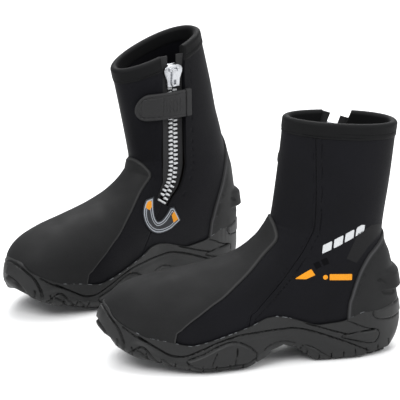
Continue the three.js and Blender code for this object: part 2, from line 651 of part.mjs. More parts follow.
// ---------------------------------------------------------------- the pair
const pair = new THREE.Group();
const left = boot("left", LEFT_FLEX);
const right = boot("right", RIGHT_FLEX);
right.rotation.z = rad(RIGHT_TURN);
right.position.set(...RIGHT_PLACE, 0);
pair.add(left, right);

// The origin is under the middle of the pair, on the floor.
pair.updateMatrixWorld(true);
const bounds = new THREE.Box3().setFromObject(pair, true);
const middle = bounds.getCenter(new THREE.Vector3());
pair.position.set(-middle.x, -middle.y, -bounds.min.z);
pair.updateMatrixWorld(true);

export default pair;
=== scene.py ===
"""A pair of neoprene dive boots with moulded soles, side zips and closing straps.

Every shape is drawn in a boot's own frame, in millimetres: s from the back of the heel to the
toe, lat from the boot's middle plane to its outer side, z up from the floor.
"""

import json
import logging
import math
from dataclasses import dataclass, field
from enum import Enum
from itertools import chain
from typing import Callable, Sequence

import bmesh
import bpy
import numpy as np
from mathutils import Matrix, Vector


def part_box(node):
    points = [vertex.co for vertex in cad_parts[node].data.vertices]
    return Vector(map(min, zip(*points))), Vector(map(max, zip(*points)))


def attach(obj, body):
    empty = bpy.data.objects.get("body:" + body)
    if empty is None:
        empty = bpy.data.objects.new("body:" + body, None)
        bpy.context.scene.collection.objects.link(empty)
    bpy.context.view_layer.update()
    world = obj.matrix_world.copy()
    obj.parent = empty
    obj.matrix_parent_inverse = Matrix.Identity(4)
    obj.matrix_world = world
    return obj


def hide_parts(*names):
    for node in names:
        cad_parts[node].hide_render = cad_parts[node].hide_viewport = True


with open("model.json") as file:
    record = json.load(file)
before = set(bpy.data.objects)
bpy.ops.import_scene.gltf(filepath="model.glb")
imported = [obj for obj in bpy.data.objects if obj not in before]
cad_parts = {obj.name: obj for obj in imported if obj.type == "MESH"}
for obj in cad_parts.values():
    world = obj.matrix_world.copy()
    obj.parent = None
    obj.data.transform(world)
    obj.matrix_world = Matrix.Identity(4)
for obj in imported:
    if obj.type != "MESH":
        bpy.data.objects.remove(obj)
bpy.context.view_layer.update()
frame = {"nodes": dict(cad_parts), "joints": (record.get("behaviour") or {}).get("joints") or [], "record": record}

LOG = logging.getLogger("boots")
MM = 0.001
WELD_PER_MM = 500              # points closer than about 1/500 mm are one point

Array = np.ndarray
Measure = Callable[[Array], Array]
Outline = Sequence[Sequence[float]]
Material = bpy.types.Material
Triple = tuple[float, float, float]
Thing = bpy.types.Object
Socket = bpy.types.NodeSocket

# ------------------------------------------------------------------ driving sizes, millimetres
BASE_LENGTH = 298.0            # sole length and width that the tables below are drawn on
BASE_WIDTH = 99.5
HEEL_TREAD = 67.0              # where the heel tread mount lies along the boot
NEOPRENE = 6.0
RUBBER_SKIN = 1.8
GAP = 0.3
HEM_HEIGHT = 15.0
HEM_SWELL = 0.8
LEAN = {"left": 0.0, "right": 20.0}

TOOTH_REACH = 5.2
TOOTH_DEPTH = 3.8
TOOTH_PITCH = 4.6
ZIP_CORE = 0.7
TAPE = 1.0
TAPE_LEVEL = -3.5
SLOT_HALF = 12.3
SLOT_END_HALF = 7.0
NOTCH_HALF = 15.0
NOTCH_DEPTH = 24.0
SLIDER_DOWN = 25.0
SLIDER_LENGTH = 23.0
PULL_UP = 6.9                  # pull's hinge above the middle of the slider
PULL_OUT = 1.5
STRAP_WIDTH = 28.0
STRAP_REACH = 38.0
STRAP_ROOT = 10.3
STRAP_THICK = 2.5
STRAP_DOWN = 54.0
PATCH = 1.0
BADGE = 1.0

# Rings across the boot, from its front or top point to its back or under point: front s, z;
# back s, z; half width outside, inside; where it is widest; roundness of front and back half.
STATIONS = np.array([
    [117, 239, 7, 230, 28, 28, 0.55, 2.0, 2.2],
    [122, 190, 13, 176, 31, 31, 0.55, 2.0, 2.2],
    [128, 143, 20, 121, 33, 33, 0.55, 2.0, 2.2],
    [131, 134, 14, 98, 35, 35, 0.55, 2.0, 2.2],
    [135, 127, 9, 76, 36, 36, 0.55, 2.1, 2.3],
    [140, 120, 6, 50, 36, 35, 0.52, 2.2, 2.3],
    [145, 115, 18, 29, 36, 34, 0.52, 2.3, 2.6],
    [152, 109, 62, 24, 37, 33, 0.52, 2.3, 3.5],
    [163, 102, 110, 27, 39, 34, 0.55, 2.3, 3.8],
    [182, 95, 152, 22, 45, 40, 0.6, 2.2, 4.0],
    [210, 88.5, 196, 16, 48.5, 45, 0.62, 2.2, 4.0],
    [240, 84, 232, 18, 43, 41, 0.6, 2.2, 3.6],
    [266, 77, 260, 27, 33, 33, 0.56, 2.2, 3.0],
    [283, 67, 279, 38, 20, 22, 0.5, 2.1, 2.4],
    [292, 56, 289, 47, 6, 6, 0.5, 2.0, 2.0],
])
FLEX_PIVOT = np.array([125.0, 118.0])
FLEX_BACK = (165.0, 200.0)
FLEX_FRONT = (0.0, 60.0)

SOLE_OUTER = np.array([[0, 0], [1.2, 6.5], [5, 13], [13, 21], [26, 29], [45, 34.5], [70, 36.5],
    [100, 36.5], [130, 41], [160, 48], [190, 52], [215, 51], [240, 46], [260, 38.5], [275, 29.5],
    [287, 19], [295, 9], [298, 0]])
SOLE_INNER = np.array([[0, 0], [1.2, 6.5], [5, 13], [13, 21], [26, 28.5], [45, 33], [70, 34],
    [100, 32], [130, 34], [160, 41], [190, 47.5], [215, 47.5], [240, 44], [260, 38], [275, 30],
    [287, 20], [295, 10], [298, 0]])
SOLE_TOP = np.array([[0, 56], [13, 51], [27, 48], [45, 48], [55, 44], [64, 40], [90, 38.4],
    [105, 44], [118, 49], [130, 51.6], [141, 51], [155, 45], [172, 40], [197, 33], [213, 29],
    [220, 30], [237, 34], [257, 37], [274, 45], [285, 51.5], [291, 60], [298, 62]])
SOLE_UNDER = np.array([[0, 23], [4, 11.6], [13, 5], [26, 1.5], [45, 0], [90, 0], [100, 7],
    [111, 15.7], [122, 18.3], [134, 14.3], [141, 8], [152, 3], [160, 0], [205, 0], [227, 5],
    [253, 12], [273, 19.4], [283, 24], [292, 29.5], [298, 34]])

OUTER_SEAM = [[91, 260], [91, 150], [98, 122], [115, 95], [135, 73], [150, 58], [157, 47], [160, -20]]
ZIP_STRAIGHT = [[60, 234], [101, 122]]
ZIP_BEND = [[107, 112], [113, 102], [120, 92]]
INNER_SEAM = [[134, 72], [147, 56], [156, 44], [160, -20]]
TOE_GUARD_EDGE = [[140, 150], [129, 141], [125, 130], [126, 120], [141, 104], [154, 92],
    [168, 82], [181, 73], [194, 66], [205, 59], [214, 53], [223, 45], [228, 36], [229, -20]]
HEEL_CAP_EDGE = [[12, 124], [20, 121], [28, 114], [39, 106], [48, 93], [53, 80], [57, 66],
    [60, 50], [61, -20]]


# ------------------------------------------------------------------ curves and distances
def smooth(x: Array, low: float, high: float) -> Array:
    """Smooth step from 0 at low to 1 at high."""
    t = np.clip((np.asarray(x, float) - low) / (high - low), 0, 1)
    return t * t * (3 - 2 * t)


def unit(vectors: Array) -> Array:
    """Vectors brought to length 1."""
    return vectors / np.maximum(np.linalg.norm(vectors, axis=-1, keepdims=True), 1e-12)


def catmull(table: Array, at: Array) -> Array:
    """Smooth curve through the rows of a table.

    Args:
        table: one row for each knot.
        at: places along the table, 0 at its first row.

    Returns:
        One row for each place.
    """
    last = len(table) - 1
    index = np.clip(np.floor(at).astype(int), 0, last - 1)
    t = (np.asarray(at, float) - index)[:, None]
    p0, p1, p2, p3 = (table[np.clip(index + k, 0, last)] for k in (-1, 0, 1, 2))
    v0, v1 = (p2 - p0) / 2, (p3 - p1) / 2
    return (2 * p1 - 2 * p2 + v0 + v1) * t**3 + (-3 * p1 + 3 * p2 - 2 * v0 - v1) * t**2 + v0 * t + p1


def curve(points: Outline, step: float = 2.0, closed: bool = False) -> Array:
    """Smooth line through given points, as short straight stretches.

    Args:
        points: the knots.
        step: about how long a stretch is.
        closed: whether the line comes back to its first point.

    Returns:
        The points of the line; a closed one ends on its first point.
    """
    knots = np.array(points, float)
    table = np.vstack([knots[-1:], knots, knots[:2]]) if closed else knots
    spans = np.linalg.norm(np.diff(knots, axis=0, append=knots[:1] if closed else knots[-1:]), axis=1)
    places: list[float] = []
    for k, span in enumerate(spans if closed else spans[:-1]):
        count = max(1, round(span / step))
        places.extend(k + np.arange(count) / count)
    places.append(len(knots) if closed else len(knots) - 1)
    return catmull(table, np.array(places) + (1 if closed else 0))


def rounded(points: Outline, radius: float, steps: int = 5) -> Array:
    """Closed outline whose corners are rounded, first point repeated at the end.

    Args:
        points: corners of the line.
        radius: radius of the corners.
        steps: points on each corner.

    Returns:
        The line with round corners.
    """
    corners = np.array(points, float)
    line: list[Array] = []
    for k, corner in enumerate(corners):
        before, after = corners[k - 1] - corner, corners[(k + 1) % len(corners)] - corner
        reach = min(radius, np.linalg.norm(before) / 2.1, np.linalg.norm(after) / 2.1)
        start, end = corner + unit(before) * reach, corner + unit(after) * reach
        for t in np.linspace(0, 1, steps):
            line.append((1 - t) ** 2 * start + 2 * t * (1 - t) * corner + t**2 * end)
    return np.array([*line, line[0]])


def line_distance(points: Array, line: Array, reach: float = 1e9) -> tuple[Array, Array]:
    """Distance of flat points from a line.

    Args:
        points: the flat points.
        line: the line's points.
        reach: beyond this the distance isn't needed and reads as this.

    Returns:
        The distance, above zero to the left of the line, and how far along the line it is.
    """
    signed = np.full(len(points), float(reach))
    along = np.zeros(len(points))
    low, high = line.min(0) - reach, line.max(0) + reach
    near = np.flatnonzero(((points >= low) & (points <= high)).all(1))
    start, span = line[:-1], np.diff(line, axis=0)
    lengths = np.linalg.norm(span, axis=1)
    gone = np.concatenate([[0.0], np.cumsum(lengths)[:-1]])
    for part in np.array_split(near, max(1, len(near) * len(span) // 2_000_000)):
        if not len(part):
            continue
        rel = points[part, None] - start[None]
        t = np.clip((rel * span).sum(2) / np.maximum(lengths**2, 1e-12), 0, 1)
        off = rel - t[..., None] * span
        squared = (off**2).sum(2)
        best = squared.argmin(1)
        rows = np.arange(len(part))
        cross = span[best, 0] * rel[rows, best, 1] - span[best, 1] * rel[rows, best, 0]
        distance = np.sqrt(squared[rows, best])
        signed[part] = np.where(cross < 0, -distance, distance)
        along[part] = gone[best] + t[rows, best] * lengths[best]
    return signed, along


def inside_distance(points: Array, outline: Array, reach: float = 1e9) -> Array:
    """Distance of flat points from a closed outline, above zero inside it.

    Args:
        points: places, in millimetres.
        outline: corners of the outline.
        reach: distances beyond this are cut off at it.

    Returns:
        Distance to the edge, above zero inside.
    """
    distance = np.abs(line_distance(points, outline, reach)[0])
    x, y = points[:, 0, None], points[:, 1, None]
    (ax, ay), (bx, by) = outline[:-1].T, outline[1:].T
    crossing = (ay > y) != (by > y)
    with np.errstate(divide="ignore", invalid="ignore"):
        where = ax + (y - ay) * (bx - ax) / (by - ay)
    inside = (crossing & (x < where)).sum(1) % 2 == 1
    return np.where(inside, distance, -distance)


# ------------------------------------------------------------------ where a boot stands
@dataclass(frozen=True)
class Stance:
    """Where a boot stands: its heel point and its directions, from its two tread mounts."""

    side: str
    heel: Array
    forward: Array
    outward: Array

    @classmethod
    def of(cls, side: str) -> "Stance":
        """Stance of the left or the right boot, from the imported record.

        Args:
            side: left or right.

        Returns:
            The stance.
        """
        mounts = {m["name"]: np.array(m["pos_m"]) for m in frame["record"]["mounts"]}
        heel, ball = mounts[f"{side}_heel_tread"], mounts[f"{side}_ball_tread"]
        forward = unit(ball - heel)
        across = np.cross(forward, [0, 0, 1])
        return cls(side, heel - forward * HEEL_TREAD * MM, forward, across if side == "right" else -across)

    @property
    def basis(self) -> Array:
        """Rows that hold the boot's three directions."""
        return np.array([self.forward, self.outward, [0.0, 0.0, 1.0]])

    def world(self, points: Array) -> Array:
        """Boot millimetres to metres in the shared frame."""
        return self.heel + np.asarray(points, float) @ self.basis * MM

    def local(self, points: Array) -> Array:
        """Metres in the shared frame to boot millimetres."""
        return (np.asarray(points, float) - self.heel) @ self.basis.T / MM

    def turned(self, direction: Sequence[float]) -> Array:
        """A direction of the shared frame, in the boot's own frame."""
        return self.basis @ np.array(direction, float)


@dataclass(frozen=True)
class Form:
    """Outer shape of the neoprene upper, as rings from the collar to the toe."""

    lean: float
    length: float = 1.0
    width: float = 1.0

    def flex(self, places: Array) -> Array:
        """Side view places with the shaft leaned forward.

        Args:
            places: places on the straight boot.

        Returns:
            The places on the leaning boot.
        """
        away = places - FLEX_PIVOT * [self.length, 1]
        angle = np.degrees(np.arctan2(away[:, 1], away[:, 0]))
        angle = np.where(angle < -60, angle + 360, angle)
        share = np.where(angle < 90, smooth(angle, *FLEX_FRONT), 1 - smooth(angle, *FLEX_BACK))
        turn = np.radians(self.lean) * share
        cos, sin = np.cos(turn), np.sin(turn)
        moved = np.stack([away[:, 0] * cos + away[:, 1] * sin, away[:, 1] * cos - away[:, 0] * sin], 1)
        return moved + FLEX_PIVOT * [self.length, 1]

    def side(self, places: Outline) -> Array:
        """Side view places of the straight boot, on this boot."""
        return self.flex(np.array(places, float) * [self.length, 1])

    def point(self, u: Array, v: Array, grow: float = 0.0) -> Array:
        """Points of the form.

        Args:
            u: place along the boot, in stations.
            v: place round the ring, 0 at the front, a quarter at the outer side.
            grow: how far the form is grown outwards.

        Returns:
            Points in the boot's frame.
        """
        row = catmull(STATIONS, u)
        scale = np.array([self.length, 1.0])
        front, back = row[:, 0:2] * scale, row[:, 2:4] * scale
        along = unit(back - front)
        front, back = front - along * grow, back + along * grow
        c, d = np.cos(2 * np.pi * v), np.sin(2 * np.pi * v)
        power = np.where(c > 0, row[:, 7], row[:, 8])
        reach = (np.abs(c) ** power + np.abs(d) ** power) ** (-1 / power)
        deep, wide = reach * np.abs(c), reach * np.abs(d)
        widest = row[:, 6]
        share = np.where(c > 0, widest * (1 - deep), widest + (1 - widest) * deep)
        half = np.where(d > 0, row[:, 4], row[:, 5]) * self.width + grow
        places = self.flex(front + (back - front) * share[:, None])
        return np.stack([places[:, 0], np.sign(d) * wide * half, places[:, 1]], 1)

    def solve(self, u: Array, v: Array, error: Callable[[Array], Array]) -> tuple[Array, Array]:
        """Moves places on the form until a pair of errors is zero.

        Args:
            u: first guess of the places along the boot.
            v: first guess of the places round the rings.
            error: two errors of each point.

        Returns:
            The places found.
        """
        nudge = 1e-3
        for _ in range(12):
            here = error(self.point(u, v))
            du = (error(self.point(u + nudge, v)) - here) / nudge
            dv = (error(self.point(u, v + nudge)) - here) / nudge
            det = du[:, 0] * dv[:, 1] - du[:, 1] * dv[:, 0]
            det = np.where(np.abs(det) < 1e-9, 1e-9, det)
            step_u = (here[:, 0] * dv[:, 1] - here[:, 1] * dv[:, 0]) / det
            step_v = (du[:, 0] * here[:, 1] - du[:, 1] * here[:, 0]) / det
            u = np.clip(u - np.clip(step_u, -0.4, 0.4), 0, len(STATIONS) - 1)
            v = v - np.clip(step_v, -0.05, 0.05)
        return u, v

    def on_side(self, places: Array, inner: bool) -> Array:
        """Points of the form that lie on side view places, on its inner or outer side.

        Args:
            places: places on the straight boot.
            inner: whether it is the inner side.

        Returns:
            The places on the surface.
        """
        us, vs = np.meshgrid(np.arange(0, len(STATIONS) - 1, 0.1), np.arange(0.02, 0.49, 0.02), indexing="ij")
        us, vs = us.ravel(), (1 - vs.ravel() if inner else vs.ravel())
        known = self.point(us, vs)[:, [0, 2]]
        best = ((places[:, None] - known[None]) ** 2).sum(2).argmin(1)
        u, v = self.solve(us[best], vs[best], lambda p: p[:, [0, 2]] - places)
        return self.point(u, v)

    def reach(self, centres: Array, directions: Array, heights: Array, grow: float = 0.0) -> Array:
        """How far the form reaches from upright lines through the foot.

        Args:
            centres: plan places inside the foot.
            directions: plan directions out of them.
            heights: height of each ray.
            grow: how far the form is grown outwards.

        Returns:
            The distance of the surface along each ray.
        """
        us, vs = np.meshgrid(np.arange(2, len(STATIONS) - 1, 0.1), np.arange(0, 1, 0.01), indexing="ij")
        us, vs = us.ravel(), vs.ravel()
        known = self.point(us, vs)
        found = np.zeros(len(centres))
        for k, (centre, direction, height) in enumerate(zip(centres, directions, heights)):
            rel = known[:, :2] - centre
            ahead = rel @ direction
            off = rel[:, 0] * direction[1] - rel[:, 1] * direction[0]
            score = off**2 + (known[:, 2] - height) ** 2 + np.where(ahead < 0, 1e6, 0)
            near = np.argsort(score)[:4]
            weight = 1 / (score[near] + 1e-3)
            found[k] = (ahead[near] * weight).sum() / weight.sum()
        return found + grow


# ------------------------------------------------------------------ surfaces that can be cut and carved
class Keep(Enum):
    """What a cut keeps."""

    INSIDE = "inside"
    BOTH = "both"


@dataclass(frozen=True)
class Relief:
    """A raised or sunk area: where it is, how far it stands out and how wide its slope is."""

    measure: Measure
    height: float
    slope: float

    def lift(self, points: Array) -> Array:
        """How far it lifts each point."""
        return self.height * smooth(self.measure(points), 0, self.slope)


@dataclass
class Sheet:
    """A stretch of surface: points, their outward directions, pattern places and polygons."""

    base: Array
    outward: Array
    cloth: Array
    faces: list[tuple[int, ...]]

    @classmethod
    def grid(cls, rows: int, columns: int, base: Array, outward: Array, cloth: Array) -> "Sheet":
        """Sheet of quads over rows of points.

        Args:
            rows: rows of the grid.
            columns: columns of the grid.
            base: the points.
            outward: their outward directions.
            cloth: their places in the pattern.

        Returns:
            The sheet.
        """
        k = np.arange((rows - 1) * columns).reshape(rows - 1, columns)[:, :-1].ravel()
        quads = np.stack([k, k + 1, k + columns + 1, k + columns], 1)
        return cls(base, outward, cloth, [tuple(q) for q in quads.tolist()])

    @classmethod
    def of_form(cls, form: Form, us: Array, vs: Array) -> "Sheet":
        """Sheet over part of the form.

        Args:
            form: the boot's form.
            us: places of its rows, in stations.
            vs: places of its columns, round the ring.

        Returns:
            The sheet.
        """
        u, v = (a.ravel() for a in np.meshgrid(us, vs, indexing="ij"))
        base = form.point(u, v)
        outward = form.point(u, v, 1.0) - base
        places = base.reshape(len(us), len(vs), 3)
        around = np.cumsum(np.linalg.norm(np.diff(places, axis=1, prepend=places[:, :1]), axis=2), 1)
        down = np.cumsum(np.linalg.norm(np.diff(places, axis=0, prepend=places[:1]), axis=2), 0)
        middle = np.argmin(np.abs(vs - (vs[0] + vs[-1]) / 2))
        around = around - around[:, middle : middle + 1]
        cloth = np.stack([around, np.broadcast_to(down.mean(1, keepdims=True), around.shape)], 2)
        return cls.grid(len(us), len(vs), base, outward, cloth.reshape(-1, 2))

    def copy(self) -> "Sheet":
        """A sheet of its own."""
        return Sheet(self.base.copy(), self.outward.copy(), self.cloth.copy(), list(self.faces))

    def cut(self, measure: Measure, keep: Keep = Keep.INSIDE) -> "Sheet":
        """Cuts the polygons along the line where a measure is zero.

        Args:
            measure: its value at each point, above zero inside.
            keep: whether what lies outside is kept too.

        Returns:
            The sheet.
        """
        values = measure(self.base)
        values = np.where(np.abs(values) < 0.03, 0.0, values)
        flat = np.fromiter(chain.from_iterable(self.faces), int)
        starts = np.concatenate([[0], np.cumsum([len(f) for f in self.faces])[:-1]]).astype(int)
        low = np.minimum.reduceat(values[flat], starts)
        high = np.maximum.reduceat(values[flat], starts)
        faces = [self.faces[k] for k in np.flatnonzero((low >= 0) & (high > 0))]
        if keep is Keep.BOTH:
            faces += [self.faces[k] for k in np.flatnonzero((high <= 0))]
        made: dict[tuple[int, int], int] = {}
        pairs: list[tuple[int, int, float]] = []
        for k in np.flatnonzero((low < 0) & (high > 0)):
            inside: list[int] = []
            outside: list[int] = []
            face = self.faces[k]
            for a, b in zip(face, face[1:] + face[:1]):
                if values[a] >= 0:
                    inside.append(a)
                if values[a] <= 0:
                    outside.append(a)
                if values[a] * values[b] < 0:
                    key = (a, b) if a < b else (b, a)
                    if key not in made:
                        made[key] = len(self.base) + len(pairs)
                        pairs.append((*key, values[key[0]] / (values[key[0]] - values[key[1]])))
                    inside.append(made[key])
                    outside.append(made[key])
            if len(inside) > 2:
                faces.append(tuple(inside))
            if keep is Keep.BOTH and len(outside) > 2:
                faces.append(tuple(outside))
        if pairs:
            a, b = (np.array([p[k] for p in pairs]) for k in (0, 1))
            t = np.array([p[2] for p in pairs])[:, None]
            self.base = np.vstack([self.base, self.base[a] * (1 - t) + self.base[b] * t])
            self.outward = np.vstack([self.outward, self.outward[a] * (1 - t) + self.outward[b] * t])
            self.cloth = np.vstack([self.cloth, self.cloth[a] * (1 - t) + self.cloth[b] * t])
        self.faces = faces
        return self

    def loops(self, measure: Measure, *levels: float) -> "Sheet":
        """Puts edge loops where a measure has some values.

        Args:
            measure: the measure along whose levels the faces are cut.

        Returns:
            The sheet.
        """
        for level in levels:
            self.cut(lambda p, level=level: measure(p) - level, Keep.BOTH)
        return self

    def carve(self, reliefs: Sequence[Relief]) -> Array:
        """Puts edge loops round each relief, and gives the height of every point.

        Args:
            reliefs: the raised and sunk areas.

        Returns:
            How far each point is raised or sunk.
        """
        reliefs = list(reliefs)
        for relief in reliefs:
            self.loops(relief.measure, 0.0, relief.slope)
        height = np.zeros(len(self.base))
        for relief in reliefs:
            height += relief.lift(self.base)
        return height


@dataclass
class Solid:
    """Points and polygons of a closed piece, with pattern places and named values for its finish."""

    points: Array
    faces: list[tuple[int, ...]]
    cloth: list[Array] | None = None
    marks: dict[str, Array] = field(default_factory=dict)

    def volume(self) -> float:
        """Signed volume, below zero when the faces point inwards.

        Returns:
            The volume, below zero when it is inside out.
        """
        fans = np.array([(f[0], f[k], f[k + 1]) for f in self.faces for k in range(1, len(f) - 1)])
        a, b, c = (self.points[fans[:, k]] for k in range(3))
        return float(np.einsum("ij,ij->i", a, np.cross(b, c)).sum() / 6)

    def object(self, name: str, stance: Stance, material: Material, angle: float = 40.0) -> Thing:
        """Makes it a smooth shaded object in the shared frame.

        Args:
            name: the object's name.
            stance: the boot it belongs to.
            material: its finish.
            angle: edges sharper than this, in degrees, stay sharp.

        Returns:
            The finished piece.
        """
        world = Solid(stance.world(self.points), self.faces)
        mesh = bpy.data.meshes.new(name)
        turned = world.volume() < 0
        faces = [f[::-1] for f in self.faces] if turned else self.faces
        mesh.from_pydata(world.points.tolist(), [], faces)
        if self.cloth is not None:
            layer = mesh.uv_layers.new(name="cloth")
            cloth = [c[::-1] for c in self.cloth] if turned else self.cloth
            layer.data.foreach_set("uv", np.concatenate(cloth).astype(np.float32).ravel())
        for label, values in self.marks.items():
            mesh.attributes.new(label, "FLOAT", "POINT").data.foreach_set("value", values.astype(np.float32))
        thing = bpy.data.objects.new(name, mesh)
        bpy.context.scene.collection.objects.link(thing)
        mesh.validate()
        mesh.materials.append(material)
        shade(thing, angle)
        return thing


def weld(sheet: Sheet) -> tuple[Array, list[tuple[int, ...]], list[Array]]:
    """Joins a sheet's coinciding points and drops the faces that lose their area by it.

    Args:
        sheet: the cut sheet.

    Returns:
        Which points are kept, the faces over them and the faces' pattern places.
    """
    used = np.unique(np.fromiter(chain.from_iterable(sheet.faces), int))
    keys = np.round(sheet.base[used] * WELD_PER_MM).astype(int)
    _, first, same = np.unique(keys, axis=0, return_index=True, return_inverse=True)
    welded = np.full(len(sheet.base), -1)
    welded[used] = same.ravel()
    faces: list[tuple[int, ...]] = []
    cloth: list[Array] = []
    for face in sheet.faces:
        ring = [int(welded[k]) for k in face]
        keep = [k for k in range(len(ring)) if ring[k] != ring[k - 1]]
        if len({ring[k] for k in keep}) == len(keep) > 2:
            faces.append(tuple(ring[k] for k in keep))
            cloth.append(sheet.cloth[[face[k] for k in keep]])
    return used[first], faces, cloth


def shell(sheet: Sheet, outer: Array, inner: Array, marks: dict[str, Array] | None = None) -> Solid:
    """Closed skin of varying thickness over a sheet.

    Args:
        sheet: the cut sheet.
        outer: height of the outer face at each point.
        inner: height of the inner face at each point.
        marks: values for the finish at each point.

    Returns:
        The closed piece.
    """
    kept, faces, cloth = weld(sheet)
    count = len(kept)
    edges = {(a, b): (k, n) for k, f in enumerate(faces) for n, (a, b) in enumerate(zip(f, f[1:] + f[:1]))}
    rim = [edge for edge in edges if edge[::-1] not in edges]
    walls = [(b, a, a + count, b + count) for a, b in rim]
    wall_cloth = []
    for edge in rim:
        k, n = edges[edge]
        ends = cloth[k][[(n + 1) % len(faces[k]), n]]
        wall_cloth.append(np.vstack([ends, ends[::-1]]))
    under = [tuple(k + count for k in f[::-1]) for f in faces]
    spread = lambda height: (np.broadcast_to(height, len(sheet.base))[kept])[:, None]
    points = np.vstack([sheet.base[kept] + sheet.outward[kept] * spread(outer),
                        sheet.base[kept] + sheet.outward[kept] * spread(inner)])
    named = {label: np.tile(values[kept], 2) for label, values in (marks or {}).items()}
    return Solid(points, faces + walls + under, cloth + wall_cloth + [c[::-1] for c in cloth], named)


def loft(sections: Array, scale: tuple[float, float] = (1.0, 1.0)) -> Solid:
    """Closed piece over a row of closed sections, with flat ends.

    Args:
        sections: the sections, each an array of the same number of points.
        scale: millimetres of pattern along the row and round the section.

    Returns:
        The closed piece.
    """
    rows, count = sections.shape[:2]
    ring = np.arange(count)
    faces: list[tuple[int, ...]] = []
    cloth: list[Array] = []
    along = np.concatenate(
        [[0], np.cumsum(np.linalg.norm(np.diff(sections.mean(1), axis=0), axis=1))]
    ) * scale[0]
    steps = np.linalg.norm(np.diff(sections[0], axis=0, append=sections[0][:1]), axis=1)
    around = np.concatenate([[0], np.cumsum(steps)]) * scale[1]
    for k in range(rows - 1):
        for n in ring:
            m = (n + 1) % count
            faces.append((k * count + n, k * count + m, (k + 1) * count + m, (k + 1) * count + n))
            cloth.append(np.array([[around[n], along[k]], [around[n + 1], along[k]],
                                   [around[n + 1], along[k + 1]], [around[n], along[k + 1]]]))
    for start, order in ((0, ring[::-1]), ((rows - 1) * count, ring)):
        faces.append(tuple(int(start + n) for n in order))
        cloth.append(np.stack([around[order], np.full(count, along[0 if start == 0 else -1])], 1))
    return Solid(sections.reshape(-1, 3), faces, cloth)


def together(solids: Sequence[Solid]) -> Solid:
    """Several closed pieces as one.

    Args:
        solids: the pieces.

    Returns:
        The closed piece.
    """
    points: list[Array] = []
    faces: list[tuple[int, ...]] = []
    cloth: list[Array] = []
    for solid in solids:
        start = sum(len(p) for p in points)
        sign = 1 if solid.volume() > 0 else -1
        points.append(solid.points)
        faces.extend(tuple(k + start for k in f[::sign]) for f in solid.faces)
        cloth.extend(c[::sign] for c in (solid.cloth or [np.zeros((len(f), 2)) for f in solid.faces]))
    return Solid(np.vstack(points), faces, cloth)


def cord_along(line: Array, radius: float, sides: int = 6) -> Solid:
    """Thin round thread along a line.

    Args:
        line: the middle line.
        radius: half the thread's thickness.
        sides: points round the thread.

    Returns:
        The closed piece.
    """
    ahead = unit(np.gradient(line, axis=0))
    across = unit(np.cross(ahead, np.array([0.31, 0.92, 0.23])))
    other = np.cross(ahead, across)
    turn = np.linspace(0, 2 * np.pi, sides, endpoint=False)
    rings = [line + radius * (np.cos(t) * across + np.sin(t) * other) for t in turn]
    return loft(np.stack(rings, 1))


def rim_profile(distance: Array, thick: float, radius: float) -> Array:
    """Height of a skin whose edge is rounded over.

    Args:
        distance: distance inside the edge.
        thick: height away from the edge.
        radius: how far in the rounding reaches.
    """
    t = 1 - np.clip(distance / radius, 0, 1)
    return thick * (0.25 + 0.75 * np.sqrt(np.clip(1 - t * t, 0, 1)))


# ------------------------------------------------------------------ work at the bench with operators
def shade(thing: Thing, angle: float) -> None:
    """Smooth shading, with edges over an angle in degrees kept sharp.

    Args:
        thing: the piece.
        angle: edges over this many degrees stay sharp.
    """
    for other in bpy.context.selected_objects:
        other.select_set(False)
    thing.select_set(True)
    bpy.context.view_layer.objects.active = thing
    bpy.ops.object.shade_smooth_by_angle(angle=math.radians(angle))
    thing.select_set(False)


